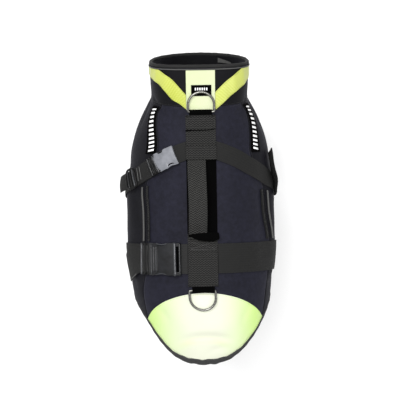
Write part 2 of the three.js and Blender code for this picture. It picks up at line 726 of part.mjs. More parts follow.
// Handle: webbing folded double, an arch over the back from the band to the rear webbing.
{
  const left = -23; // the handle stands left of the spine's middle
  const right = 8;
  const thick = 4.4;
  const seat = CLOTH + SECOND_LAYER + thick / 2;
  const arch = [
    { y: BAND_REAR - SEAM_GAP, out: seat },
    { y: -21, out: seat + 0.8 },
    { y: -30, out: 13.5 },
    { y: -45, out: 19 },
    { y: -65, out: 22.4 },
    { y: -85, out: 23.4 },
    { y: -105, out: 22.2 },
    { y: -122, out: 18.5 },
    { y: -135, out: 12.5 },
    { y: HANDLE_LANDING - 1, out: seat + 0.4 },
    { y: HANDLE_LANDING - 8, out: seat },
  ];
  const steps = 22;
  const handle = wall(steps, 2, (u, v, face) => {
    const y = lerp(arch[0].y, arch.at(-1).y, u);
    const height = (at) => curveThrough(arch, "y", "out", at);
    const slope = new THREE.Vector2(1, height(y + 0.5) - height(y - 0.5)).normalize();
    const side = (face - 0.5) * thick;
    const x = lerp(left, right, v);
    const low = raised(y, 0, 0);
    return new THREE.Vector3(x, low.y - slope.y * side, low.z + height(y) + slope.x * side);
  });
  add("handle", handle, webbing);
}

// Girth straps.
const upper = (t) => [upperStation(t), t];
const belly = (t) => [BELLY_STATION, t];
const BESIDE_SPINE = SPINE_HALF + SEAM_GAP;
const half = STRAP_WIDTH / 2;
const bellyHalf = BELLY_WIDTH / 2;
// Places along the left of each strap, in degrees from the spine.
const UPPER = { bar: -18.5, split: -34.5, plugEnd: -42, slider: -62.5, tip: -77 };
const BELLY = { bar: -16.8, split: -42.5, plugEnd: -53, tip: -78 };

add(
  "upper_strap_right",
  ribbon({ route: upper, from: crossing(upper, BESIDE_SPINE, 1), to: 70, steps: 12, left: half }),
  webbing,
);
add(
  "upper_strap_under",
  ribbon({ route: upper, from: 70.3, to: 360 + UPPER.split - 1, steps: 34, left: half }),
  webbing,
);
add(
  "upper_stub_left",
  ribbon({
    route: upper,
    from: crossing(upper, BESIDE_SPINE, -1),
    to: UPPER.bar - 6,
    steps: 3,
    left: half,
  }),
  webbing,
);
add(
  "belly_strap",
  ribbon({
    route: belly,
    from: crossing(belly, BESIDE_SPINE, 1),
    to: 360 + BELLY.split - 1,
    steps: 44,
    left: bellyHalf,
    across: 2,
  }),
  webbing,
);
add(
  "belly_stub_left",
  ribbon({
    route: belly,
    from: crossing(belly, BESIDE_SPINE, -1),
    to: BELLY.bar - 6,
    steps: 3,
    left: bellyHalf,
  }),
  webbing,
);

// A buckle on a strap: the socket with its slot and side windows, and the plug with two slots.
const BUCKLE_LIFT = STRAP_LIFT + WEBBING + LIFT;
// `width` is half the buckle's width. Distances below are along the strap, towards the plug.
function buckle(name, route, place, width, thick, material) {
  const plate = (from, to, left, right, lift = BUCKLE_LIFT, depth = thick, steps = 4) =>
    ribbon({ route, from, to, steps, left, right, across: 2, lift, thick: depth });
  const through = (from, to, left, right = left) =>
    plate(from, to, left, right, BUCKLE_LIFT - 1, thick + 2, 1);
  const past = (at, distance) => at + (Math.sign(place.bar) * distance) / 2.3; // 2.3 mm a degree
  const rim = 4; // plastic beside a slot
  const notch = 3.2; // depth of a side window
  const window = [past(place.split, -14), past(place.split, -5)];
  const socket = cut(plate(past(place.bar, 3), place.split, width, width), [
    through(past(place.bar, 6.5), past(place.bar, 10.5), width - rim),
    through(...window, width + 2, notch - width),
    through(...window, notch - width, width + 2),
  ]);
  add(`${name}_socket`, socket, material);
  const plug = cut(plate(past(place.split, SEAM_GAP), place.plugEnd, width - 1, width - 1), [
    through(past(place.plugEnd, -7.5), past(place.plugEnd, -3.5), width - rim - 0.5),
    through(past(place.plugEnd, -14.5), past(place.plugEnd, -10.5), width - rim - 0.5),
  ]);
  add(`${name}_plug`, plug, material);
}
buckle("upper_buckle", upper, UPPER, half + 1.2, 7, silver);
buckle("belly_buckle", belly, BELLY, bellyHalf + 3, 8, plastic);

// Free ends that lie on the straps outside the plugs, and the slider on the upper one, which stands
// off the flank with its strap.
const tailLift = (t) =>
  BUCKLE_LIFT + 9 * smoothstep((UPPER.plugEnd - t) / (UPPER.plugEnd - UPPER.tip), 0.3, 1);
add(
  "upper_free_end",
  ribbon({
    route: upper,
    from: UPPER.plugEnd - 0.4,
    to: UPPER.tip,
    steps: 10,
    left: half,
    lift: (u) => tailLift(lerp(UPPER.plugEnd - 0.4, UPPER.tip, u)),
  }),
  webbing,
);
{
  const overTail = WEBBING + 0.8;
  const slider = (from, to, left, below, thick) =>
    ribbon({
      route: upper,
      from,
      to,
      steps: 4,
      left,
      across: 2,
      lift: (u) => tailLift(lerp(from, to, u)) + overTail - below,
      thick,
    });
  const at = UPPER.slider;
  const frame = cut(slider(at + 4.4, at - 4.4, half + 3, 0, 3.4), [
    slider(at + 3.2, at + 0.9, half - 0.5, 1.5, 7),
    slider(at - 0.9, at - 3.2, half - 0.5, 1.5, 7),
  ]);
  add("upper_slider", frame, plastic);
}
{
  const slanted = (t) => [BELLY_STATION - 21 * smoothstep(-t, 55, 84), t];
  add(
    "belly_free_end",
    ribbon({
      route: slanted,
      from: BELLY.plugEnd - 1.2,
      to: BELLY.tip,
      steps: 9,
      left: bellyHalf - 1,
      lift: BUCKLE_LIFT,
    }),
    webbing,
  );
}

// A folded piece of webbing on the right flank, where the upper strap meets it.
{
  const rising = (t) => [t, 76 - 0.14 * (t + 60)];
  const bulge = (u) => BUCKLE_LIFT + 3.4 * smoothstep(u, 0, 0.4);
  add(
    "strap_join_right",
    ribbon({ route: rising, from: -76, to: -7, steps: 10, left: 13, right: 13, lift: bulge, thick: 2.4 }),
    webbing,
  );
}

export default jacket;
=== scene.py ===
"""Looks of the dog life jacket. Lengths are in millimetres until a piece's points are set, then metres.
+Y points to the head, +Z up out of the back, +X to the wearer's right."""

from math import cos, pi, radians, sin

import bmesh
import bpy
import numpy as np
from mathutils import Matrix, Vector


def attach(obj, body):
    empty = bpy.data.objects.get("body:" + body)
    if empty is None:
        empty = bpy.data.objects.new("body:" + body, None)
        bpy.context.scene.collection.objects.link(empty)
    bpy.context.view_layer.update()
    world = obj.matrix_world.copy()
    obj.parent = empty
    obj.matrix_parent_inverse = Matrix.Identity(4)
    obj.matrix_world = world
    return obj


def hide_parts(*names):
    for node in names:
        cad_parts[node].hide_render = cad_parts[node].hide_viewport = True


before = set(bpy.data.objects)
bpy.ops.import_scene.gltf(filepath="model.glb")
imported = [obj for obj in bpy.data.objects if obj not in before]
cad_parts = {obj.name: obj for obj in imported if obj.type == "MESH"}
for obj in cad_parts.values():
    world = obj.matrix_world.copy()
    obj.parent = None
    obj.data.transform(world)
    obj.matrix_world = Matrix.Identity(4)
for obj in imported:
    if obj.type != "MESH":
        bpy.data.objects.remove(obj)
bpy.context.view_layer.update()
MM = 0.001
SIDES = (("left", -1), ("right", 1))
BODY_MIDDLE_Z = -0.12  # metres, inside the body

# Thicknesses, lifts and widths.
CLOTH = 4.0
FOAM = 9.0
LIFT = 0.5
STRAP_LIFT = 0.85
NEON = 1.0
WEBBING = 1.6
SPINE_HALF = 24.8
WIRE = 2.0
RING_HALF_WIDTH = 21.8
RING_LENGTH = 33.0
BINDING = 3.0
BAR_CLEAR = 0.4
MM_A_DEGREE = 2.1

# Stations: how far towards the head from the withers.
COLLAR_SEAM = 72.0
COLLAR_END = 134.0
FRONT_BAR = 64.0
REAR_BAR = -233.8
FRONT_KEEPER_END = 34.0
REAR_KEEPER_END = -170.0
BAND_FRONT = 7.7
BAND_REAR = -16.4
HANDLE_LANDING = -140.0
BELLY_STATION = -181.5
POCKET_FRONT = {-1: -59.0, 1: -68.0}
POCKET_REAR = -152.0
TAIL_FRONT = -238.6
TAIL_CORNER = 62.5
TAIL_BEND = 1.9
LOWER_SEAM = 130.0
ARMHOLE = {"station": 4.0, "angle": LOWER_SEAM, "half_length": 48.0, "half_angle": 22.0}

RING_COLUMNS = ("spine_y", "spine_z", "keel_y", "keel_z", "half", "wide", "square", "lean")
RINGS = [
    (140, 23.5, 180.5, -146, 80, 0.38, 2.9, 0),
    (104, 14, 153, -160, 80, 0.4, 2.8, 0),
    (72, 6.5, 126, -178, 79.5, 0.44, 2.5, 0),
    (58, 4.2, 114, -198, 86.5, 0.47, 2.35, 0),
    (40, 2.4, 90, -226, 98.5, 0.46, 2.25, 0),
    (15, 0.6, 50, -256, 111.5, 0.445, 2.2, 0),
    (-15, -0.2, 6, -276, 118.5, 0.43, 2.15, 0),
    (-50, -0.5, -40, -286, 118, 0.42, 2.1, 0),
    (-100, -1, -98, -288, 117.5, 0.415, 2.1, 0),
    (-150, -1.5, -150, -282, 117.5, 0.415, 2.1, 0),
    (-200, -2.2, -200, -270, 118.5, 0.42, 2.1, 0),
    (-240, -4, -240, -256, 117, 0.43, 2.1, 0),
    (-290, -10, -290, -240, 105.5, 0.45, 2.1, 3.4),
    (-330, -19, -330, -225, 98.5, 0.47, 2.1, 2.8),
    (-372, -33, -372, -208, 88, 0.5, 2.1, 1.2),
]
KEEL_SQUARE = 2.05
HEM = [
    (0, -360.6), (12, -358.8), (24, -353.6), (37, -340), (52, -314.5), (66, -288),
    (80, -264), (95, -248), (110, -237), (130, -229), (155, -223), (180, -221),
]
# Station, then the seam's degrees from the spine on the left and on the right.
SIDE_SEAM = [
    (72, 46.5, 51.5), (58, 48.3, 54.4), (45, 45.3, 52.4), (16, 37.2, 44.6), (-8, 36.4, 42.6),
    (-32, 42, 49), (-60, 49.6, 58.6), (-105, 49, 61.8), (-155, 49.4, 67), (-206, 52, 65.5),
    (-245, 57, 62.5), (-290, 62.5, 62.5),
]
UPPER_ROUTE = [(0, 5), (13, -2), (28, -15), (40, -28), (66, -49.5), (90, -64), (130, -85), (180, -94)]


def mix(a, b, t):
    return a + (b - a) * t


def smoothstep(x, low, high):
    t = np.clip((np.asarray(x, float) - low) / (high - low), 0, 1)
    return t * t * (3 - 2 * t)


def curve_through(rows, at, column=1):
    """Smooth curve through a table whose first column is the key."""
    table = np.array(rows, float)
    if table[1, 0] < table[0, 0]:
        table = table[::-1]
    keys, values = table[:, 0], table[:, column]
    last = len(keys) - 1
    before = np.maximum(np.arange(last + 1) - 1, 0)
    after = np.minimum(np.arange(last + 1) + 1, last)
    slope = (values[after] - values[before]) / (keys[after] - keys[before])
    at = np.asarray(at, float)
    i = np.clip(np.searchsorted(keys, at) - 1, 0, last - 1)
    span = keys[i + 1] - keys[i]
    t = np.clip((at - keys[i]) / span, 0, 1)
    t2, t3 = t * t, t * t * t
    return (
        (2 * t3 - 3 * t2 + 1) * values[i]
        + (t3 - 2 * t2 + t) * span * slope[i]
        + (3 * t2 - 2 * t3) * values[i + 1]
        + (t3 - t2) * span * slope[i + 1]
    )


def fold(angle):
    turned = np.mod(angle, 360)
    return np.where(turned > 180, 360 - turned, turned)


def hem_station(angle):
    return curve_through(HEM, fold(angle))


def seam_angle(station, sign):
    return curve_through(SIDE_SEAM, station, 1 if sign < 0 else 2)


def inner(station, angle):
    """Points of the inner face, by station and by degrees from the spine."""
    station, angle = np.broadcast_arrays(np.asarray(station, float), np.asarray(angle, float))
    ring = {c: curve_through(RINGS, station, i) for i, c in enumerate(RING_COLUMNS) if i}
    sine, cosine = np.sin(np.radians(angle)), np.cos(np.radians(angle))
    power = np.where(cosine > 0, ring["square"], np.minimum(ring["square"], KEEL_SQUARE))
    reach = (np.abs(sine) ** power + np.abs(cosine) ** power) ** (-1 / power)
    wide = ring["wide"]
    fall = np.where(cosine > 0, wide * (1 - reach * cosine), wide - (1 - wide) * reach * cosine)
    return np.stack([
        ring["lean"] + ring["half"] * reach * sine,
        mix(station, ring["keel_y"], fall),
        mix(ring["spine_z"], ring["keel_z"], fall),
    ], -1)


def unit(vectors):
    return vectors / np.maximum(np.linalg.norm(vectors, axis=-1, keepdims=True), 1e-9)


def facing(station, angle, out=None):
    step = 0.5
    at = inner if out is None else (lambda s, a: raised(s, a, out))
    along = at(station + step, angle) - at(station - step, angle)
    around = at(station, angle + step) - at(station, angle - step)
    return along, around, unit(np.cross(around, along))


def raised(station, angle, out):
    return inner(station, angle) + facing(station, angle)[2] * np.asarray(out, float)[..., None]


def skin(station, angle):
    """How far the outer face of the cloth lies from the inner face: the flanks hold foam."""
    a = fold(angle)
    front = smoothstep(-station, 18, 62)
    rear = 1 - smoothstep(-station, 150, 245)
    return CLOTH + FOAM * front * rear * smoothstep(a, 53, 78) * (1 - smoothstep(a, 84, 118))


def beside(route, t, offset):
    """The station and angle `offset` beside a route, positive to the right of its direction."""
    station, angle = route(t)
    along, around, out = facing(station, angle, CLOTH)
    s0, a0 = route(t - 0.5)
    s1, a1 = route(t + 0.5)
    ahead = unit(along * np.asarray(s1 - s0)[..., None] + around * np.asarray(a1 - a0)[..., None])
    side = np.cross(ahead, out)
    aa, ab, bb = (along * along).sum(-1), (along * around).sum(-1), (around * around).sum(-1)
    sa, sb = (side * along).sum(-1), (side * around).sum(-1)
    area = aa * bb - ab * ab
    return (station + offset * (sa * bb - sb * ab) / area, angle + offset * (sb * aa - sa * ab) / area)


def angle_at(x, station, out=CLOTH):
    """Degrees from the spine where the outer face lies x from the middle plane, on either side."""
    x, station = np.broadcast_arrays(np.asarray(x, float), np.asarray(station, float))
    low, high = np.zeros(x.shape), np.full(x.shape, 90.0)
    for _ in range(24):
        middle = (low + high) / 2
        short = raised(station, middle, np.full(x.shape, out))[..., 0] < np.abs(x)
        low, high = np.where(short, middle, low), np.where(short, high, middle)
    return low * np.sign(x)


def crossing(route, x, sign):
    """Where a route, beside its middle, crosses the plane that lies x from the middle plane."""
    def start(offset):
        offset = np.asarray(offset, float)
        low, high = np.zeros(offset.shape), np.full(offset.shape, 80.0)
        for _ in range(20):
            middle = (low + high) / 2
            station, angle = beside(route, sign * middle, offset)
            short = np.abs(raised(station, angle, np.full(offset.shape, CLOTH))[..., 0]) < x
            low, high = np.where(short, middle, low), np.where(short, high, middle)
        return sign * low
    return start


def hem_inset(angle, distance):
    a, step = fold(angle), 2.0
    low, high = np.maximum(a - step, 0), np.minimum(a + step, 180)
    rise = hem_station(high) - hem_station(low)
    width = np.linalg.norm(facing(hem_station(a), a)[1], axis=-1) * (high - low)
    return distance * np.hypot(1, rise / width)


def cloth_hem(angle):
    return hem_station(angle) + hem_inset(angle, 2 * BINDING + 0.2)


TAIL_DROP = float(cloth_hem(np.array([TAIL_CORNER]))[0]) - TAIL_FRONT


def tail_edge(angle):
    return TAIL_FRONT + TAIL_DROP * (np.abs(angle) / TAIL_CORNER) ** TAIL_BEND


# Creases in the cloth: a trough between two places, bowed sideways by `bow`, `wide` and `deep` in mm.
CREASE_COLUMNS = ("station0", "angle0", "station1", "angle1", "bow", "wide", "deep")
CREASES = [
    (84, -66, 58, -36, -4, 5, 2.2), (80, 66, 54, 37, 4, 5, 2.0), (68, -84, 30, -70, 6, 8, 2.4),
    (66, 84, 26, 72, -6, 8, 2.2), (96, -96, 60, -118, 8, 7, 2.5), (94, 97, 58, 118, -8, 7, 2.5),
    (40, -30, 2, -34, 3, 9, 1.2), (44, 30, 6, 33, -3, 9, 1.2), (-28, -28, -60, -18, 4, 8, 1.2),
    (-26, 44, -58, 30, -5, 9, 1.3), (-8, -100, -52, -88, 7, 9, 2.6), (-6, 101, -50, 88, -7, 9, 2.6),
    (-70, -66, -120, -61, 5, 12, 1.5), (-66, 67, -130, 61, -5, 12, 1.5),
    (-100, -104, -158, -98, 6, 13, 2.2), (-96, 104, -150, 97, -6, 13, 2.2),
    (-146, -30, -160, -10, 3, 7, 0.9), (-150, 14, -158, 40, -3, 7, 1.0),
    (-206, -50, -214, -14, -4, 6, 1.1), (-207, 12, -215, 52, -4, 6, 1.1),
    (-212, -88, -232, -66, 5, 8, 1.8), (-210, 88, -230, 66, 5, 8, 1.8),
    (-321, -26, -321, 26, 8, 7, 3.0), (-340, 2, -333, 24, 3, 6, 1.2), (-262, -44, -292, -34, 4, 8, 1.3),
    (-260, 45, -294, 33, -4, 8, 1.3), (50, -140, 84, -168, 6, 10, 2.2), (48, 142, 80, 170, -6, 10, 2.2),
    (-60, -150, -70, -178, 4, 10, 1.6), (-56, 148, -74, 176, 4, 10, 1.6),
    (-130, 150, -134, 182, 4, 11, 1.6), (112, -120, 104, -160, 5, 8, 1.8), (110, 118, 100, 158, 5, 8, 1.8),
]


def signed(angle):
    return np.mod(np.asarray(angle, float) + 180, 360) - 180


def creases(station, angle):
    """How far the outer face sinks in its creases, and in soft unevenness between them."""
    a = signed(angle)
    sink = 0.35 * (1 + np.sin(station * 0.11 + a * 0.07) * np.sin(a * 0.19 - station * 0.043))
    for row in CREASES:
        c = dict(zip(CREASE_COLUMNS, row))
        start = np.array([c["station0"], c["angle0"] * MM_A_DEGREE])
        run = np.array([c["station1"], c["angle1"] * MM_A_DEGREE]) - start
        size = float(np.hypot(*run))
        for wrap in (-360, 0, 360):
            dx, dy = station - start[0], (a + wrap) * MM_A_DEGREE - start[1]
            t = (dx * run[0] + dy * run[1]) / size**2
            off = (dx * run[1] - dy * run[0]) / size - c["bow"] * 4 * t * (1 - t)
            ends = smoothstep(t, -0.15, 0.35) * (1 - smoothstep(t, 0.65, 1.15))
            sink = sink + c["deep"] * ends * np.exp(-((off / c["wide"]) ** 2))
    return sink


# Meshes.
WELD = 1e-6  # metres


def finished(name, bm, material, replaces=(), body="root"):
    mesh = bpy.data.meshes.new(name)
    bm.to_mesh(mesh)
    bm.free()
    piece = bpy.data.objects.new(name, mesh)
    bpy.context.scene.collection.objects.link(piece)
    mesh.materials.append(material)
    mesh.shade_smooth()
    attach(piece, body)
    if replaces:
        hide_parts(*replaces)
    return piece


def even_grid(rows, columns):
    """A flat grid, with every corner's share along it (u) and across it (v)."""
    bm = bmesh.new()
    bmesh.ops.create_grid(bm, x_segments=columns, y_segments=rows, size=0.5)
    return bm, np.array([(v.co.y + 0.5, v.co.x + 0.5) for v in bm.verts])


def size_of(points):
    return np.linalg.norm(np.diff(points, axis=0), axis=1).sum() * MM


def grid_on(place, rows, columns, closed=False):
    """A grid whose corners go to place(u, v), u along it and v across. Its UV map is in metres."""
    bm, uv = even_grid(rows, columns)
    points = place(uv[:, 0], uv[:, 1]) * MM
    middle = np.linspace(0, 1, 60)
    half = np.full(60, 0.5)
    length, width = size_of(place(middle, half)), size_of(place(half, middle))
    layer = bm.loops.layers.uv.new("cloth")
    for face in bm.faces:
        for loop in face.loops:
            u, v = uv[loop.vert.index]
            loop[layer].uv = (u * length, v * width)
    for vertex, point in zip(bm.verts, points):
        vertex.co = point
    if closed:
        bmesh.ops.remove_doubles(bm, verts=bm.verts[:], dist=WELD)
    bm.normal_update()
    return bm


def turn_out(bm):
    """Turns the faces away from the body's middle when most of them look in."""
    total = 0.0
    for face in bm.faces:
        at = face.calc_center_median()
        total += face.normal.dot(at - Vector((0, at.y, BODY_MIDDLE_Z))) * face.calc_area()
    if total < 0:
        bmesh.ops.reverse_faces(bm, faces=bm.faces[:])
    return bm


def walled(piece, thick, bevel=0.0, offset=-1.0):
    """Gives a sheet its thickness, inwards, or to both sides with an offset of 0."""
    solid = piece.modifiers.new("wall", "SOLIDIFY")
    solid.thickness = thick * MM
    solid.offset = offset
    solid.use_even_offset = False
    if bevel:
        soft = piece.modifiers.new("edges", "BEVEL")
        soft.width = bevel * MM
        soft.segments = 2
        soft.limit_method = "ANGLE"
        soft.angle_limit = radians(50)
        soft.harden_normals = True
    return piece


def layer_on(name, place, rows, columns, thick, material, replaces=(), bevel=0.35):
    """Cloth or webbing whose outer face is place(u, v)."""
    piece = finished(name, turn_out(grid_on(place, rows, columns)), material, replaces)
    return walled(piece, thick, bevel)


def crowd(t, share=0.75):
    """Spreads 0..1 so that more of it lies near both ends."""
    return mix(t, (1 - np.cos(pi * t)) / 2, share)


def section_round(route, radius, flat):
    """place(u, v) for a round roll along a route; route(t) gives station, angle, out."""
    def at(t):
        return raised(*route(t))

    def place(u, v):
        ahead = unit(at(u + 0.002) - at(u - 0.002))
        station, angle, _ = route(u)
        out = facing(station, angle)[2]
        side = unit(np.cross(ahead, out))
        up = np.cross(side, ahead)
        turn = v * 2 * pi
        r = radius(u, v) if callable(radius) else radius
        r = np.asarray(r, float) * np.ones_like(turn)
        return at(u) + side * (np.cos(turn) * r)[:, None] + up * (np.sin(turn) * r * flat)[:, None]
    return place


def roll(name, route, steps, sides, radius, loop, material, replaces=(), flat=1.0):
    """A round roll along a route. `loop` says that it closes on itself."""
    bm = grid_on(section_round(route, radius, flat), steps, sides, True)
    if not loop:
        ends = [e for e in bm.edges if e.is_boundary]
        bmesh.ops.holes_fill(bm, edges=ends, sides=0)
    bmesh.ops.recalc_face_normals(bm, faces=bm.faces[:])
    return finished(name, bm, material, replaces)


def strap_place(route, start, end, half, lift=STRAP_LIFT, thick=WEBBING):
    """Outer face of webbing along a route. start and end may depend on the offset from its middle."""
    def at(value, given):
        return value(given) if callable(value) else value

    def place(u, v):
        offset = mix(-half, half, v)
        t = mix(at(start, offset), at(end, offset), u)
        station, angle = beside(route, t, offset)
        return raised(station, angle, skin(station, angle) + at(lift, u) + thick)
    return place


# Materials.
class Finish:
    """A procedural material: nodes are added by short calls that return the socket to link on."""

    def __init__(self, name, base, rough, metal=0.0):
        self.material = bpy.data.materials.new(name)
        self.material.use_nodes = True
        self.tree = self.material.node_tree
        self.shader = self.tree.nodes["Principled BSDF"]
        self.shader.inputs["Base Color"].default_value = (*base, 1)
        self.shader.inputs["Roughness"].default_value = rough
        self.shader.inputs["Metallic"].default_value = metal

    def node(self, kind, **sockets):
        node = self.tree.nodes.new(kind)
        for name, value in sockets.items():
            self.put(node.inputs[name.replace("_", " ")], value)
        return node

    def put(self, socket, value):
        if isinstance(value, bpy.types.NodeSocket):
            self.tree.links.new(value, socket)
        else:
            socket.default_value = value

    def place(self, source="Object", turn=0.0):
        out = self.tree.nodes.new("ShaderNodeTexCoord").outputs[source]
        return self.node("ShaderNodeMapping", Vector=out, Rotation=(0, 0, turn)).outputs[0]

    def stretch(self, at, x, y):
        return self.node("ShaderNodeMapping", Vector=at, Scale=(x, y, 1)).outputs[0]

    def noise(self, at, scale, detail=3.0, rough=0.6):
        return self.node("ShaderNodeTexNoise", Vector=at, Scale=scale, Detail=detail,
                         Roughness=rough).outputs[0]

    def waves(self, at, along):
        wave = self.node("ShaderNodeTexWave", Vector=at, Scale=1.0, Distortion=0.0)
        wave.bands_direction = along
        return wave.outputs[1]

    def math(self, kind, a, b=0.5, c=0.5):
        node = self.tree.nodes.new("ShaderNodeMath")
        node.operation = kind
        for socket, value in zip(node.inputs, (a, b, c)):
            self.put(socket, value)
        return node.outputs[0]

    def times(self, a, b):
        return self.math("MULTIPLY", a, b)

    def plus(self, a, b):
        return self.math("ADD", a, b)

    def scaled(self, a, factor, extra):
        return self.math("MULTIPLY_ADD", a, factor, extra)

    def ramp(self, factor, stops):
        node = self.node("ShaderNodeValToRGB", Fac=factor)
        while len(node.color_ramp.elements) < len(stops):
            node.color_ramp.elements.new(0.5)
        for element, (at, color) in zip(node.color_ramp.elements, stops):
            element.position = at
            element.color = (*color, 1)
        return node.outputs[0]

    def bump(self, height, distance, strength=1.0):
        bump = self.node("ShaderNodeBump", Height=height, Distance=distance, Strength=strength)
        self.put(self.shader.inputs["Normal"], bump.outputs[0])

    def color(self, socket):
        self.put(self.shader.inputs["Base Color"], socket)

    def rough(self, socket):
        self.put(self.shader.inputs["Roughness"], socket)

    def sheen(self, weight, rough, tint):
        self.shader.inputs["Sheen Weight"].default_value = weight
        self.shader.inputs["Sheen Roughness"].default_value = rough
        self.shader.inputs["Sheen Tint"].default_value = (*tint, 1)

    def gloss(self, specular, coat=0.0, coat_rough=0.1):
        self.shader.inputs["Specular IOR Level"].default_value = specular
        self.shader.inputs["Coat Weight"].default_value = coat
        self.shader.inputs["Coat Roughness"].default_value = coat_rough


WAVE_REPEAT = 0.314159  # a wave texture of scale 1 repeats every 2 pi / 20 units


def weave_height(f, at, pitch_u, pitch_v):
    """Height of a plain weave: threads along one way go over those along the other in turn."""
    wave_u = f.waves(f.stretch(at, WAVE_REPEAT / pitch_u, 1), "X")
    wave_v = f.waves(f.stretch(at, 1, WAVE_REPEAT / pitch_v), "Y")
    tiles = f.node("ShaderNodeTexChecker", Scale=1.0, Vector=f.stretch(at, 1 / pitch_u, 1 / pitch_v))
    squares = tiles.outputs["Fac"]
    return f.plus(f.times(wave_u, squares), f.times(wave_v, f.math("SUBTRACT", 1.0, squares)))


def neoprene_finish(name, dark, light, tint):
    f = Finish(name, light, 0.82)
    at = f.place()
    fuzz = f.noise(at, 1400, 2.0)
    mottle = f.noise(at, 130, 4.0, 0.65)
    cloud = f.noise(at, 14, 3.0)
    level = f.plus(f.times(mottle, 0.55), f.times(cloud, 0.45))
    level = f.plus(f.times(fuzz, 0.3), f.times(level, 0.7))
    f.color(f.ramp(level, [(0.36, dark), (0.62, light)]))
    f.rough(f.scaled(fuzz, 0.25, 0.66))
    f.sheen(0.05, 0.4, tint)
    f.gloss(0.16)
    height = f.plus(f.times(fuzz, 0.5), f.times(mottle, 0.6))
    f.bump(height, 0.0004, 0.7)
    return f.material


def gray(level):
    return level, level, level


def webbing_finish(name, dark, light, pitch, contrast, rough=0.75, gloss=0.2, turn=0.0):
    f = Finish(name, light, rough)
    at = f.place("UV", turn=turn)
    height = weave_height(f, at, pitch[0], pitch[1])
    strand = f.noise(at, 900, 2.0)
    uneven = f.noise(at, 60, 3.0)
    level = f.plus(f.times(height, 0.72 * contrast),
                   f.times(strand, 0.28 + 0.5 * (1 - contrast)))
    level = f.times(level, f.scaled(uneven, 0.5, 0.75))
    f.color(f.ramp(level, [(0.15, dark), (0.85, light)]))
    f.gloss(gloss)
    f.bump(height, 0.0005 * contrast, 0.9)
    return f.material


def herring_finish(name, dark, light, pitch, rib):
    """Coarse webbing whose threads run in zigzags."""
    f = Finish(name, light, 0.8)
    at = f.place("UV")
    parts = f.node("ShaderNodeSeparateXYZ", Vector=at)
    bent = f.plus(parts.outputs[0], f.math("PINGPONG", parts.outputs[1], rib))
    stripe = f.math("SINE", f.times(bent, 2 * pi / pitch))
    cross = f.math("SINE", f.times(parts.outputs[1], 2 * pi / (rib * 0.52)))
    thread = f.scaled(f.plus(stripe, f.times(cross, 0.6)), 0.31, 0.5)
    strand = f.noise(at, 620, 2.0)
    level = f.plus(f.times(thread, 0.6), f.times(strand, 0.60))
    f.color(f.ramp(level, [(0.50, dark), (0.86, light)]))
    f.gloss(0.2)
    f.bump(thread, 0.0006, 0.9)
    return f.material


def neon_finish(name, deep, pale, pitch, highlight_spread=None, trough=0.0):
    """Neon cloth; with `highlight_spread`, a painted highlight makes it pale in the middle, going to deep
    that many metres to either side, and painted shade makes it a little deeper in the bowed trough at y =
    `trough`."""
    f = Finish(name, pale, 0.38)
    cloud = f.noise(f.place(), 9, 1.0)
    thread = weave_height(f, f.place("UV", turn=radians(42)), pitch, pitch)
    level = f.scaled(thread, 0.22, f.times(cloud, 0.78))
    if highlight_spread:
        # Painted highlight, paler towards the middle, and painted shade along the bowed trough.
        parts = f.node("ShaderNodeSeparateXYZ", Vector=f.place())
        away = f.times(f.math("ABSOLUTE", parts.outputs[0]), 1 / highlight_spread)
        bowed = f.scaled(f.math("POWER", away, 2.0), 6.3 * highlight_spread**2, parts.outputs[1])
        off = f.times(f.math("ABSOLUTE", f.math("SUBTRACT", bowed, trough)), 1 / 0.0065)
        trough_shade = f.math("EXPONENT", f.times(f.math("POWER", off, 2.0), -1.0))
        trough_shade = f.times(trough_shade, f.math("EXPONENT", f.times(f.math("POWER", away, 4.0), -30.0)))
        level = f.math("SUBTRACT", 1.12, f.scaled(f.math("POWER", away, 2.0), 0.95, f.times(level, 0.22)))
        level = f.math("SUBTRACT", level, f.times(trough_shade, 0.30))
        stops = [(0.05, deep), (0.95, pale)]
    else:
        stops = [(0.34, deep), (0.66, pale)]
    f.color(f.ramp(level, stops))
    f.rough(f.scaled(thread, -0.12, 0.42))
    f.gloss(0.5, 0.1, 0.35)
    f.bump(thread, 0.00012, 0.5)
    return f.material


def plastic_finish(name, dark, light, rough, coat, specular=0.5):
    f = Finish(name, light, rough)
    at = f.place()
    grain = f.noise(at, 2600, 2.0)
    scuff = f.noise(at, 75, 4.0)
    f.color(f.ramp(scuff, [(0.35, dark), (0.7, light)]))
    f.rough(f.scaled(scuff, 0.18, rough - 0.09))
    f.gloss(specular, coat, 0.2)
    f.bump(grain, 0.0001, 0.35)
    return f.material


def steel_finish():
    f = Finish("ring_steel", (0.45, 0.44, 0.40), 0.3, 1.0)
    at = f.place()
    marks = f.noise(at, 420, 4.0)
    f.color(f.ramp(marks, [(0.3, (0.075, 0.074, 0.068)), (0.65, (0.225, 0.221, 0.205))]))
    f.rough(f.scaled(marks, 0.25, 0.2))
    f.bump(marks, 0.0001, 0.25)
    return f.material


def thread_finish(name, dark, light):
    f = Finish(name, light, 0.6)
    f.color(f.ramp(f.noise(f.place(), 1500, 2.0), [(0.3, dark), (0.7, light)]))
    f.gloss(0.4)
    return f.material
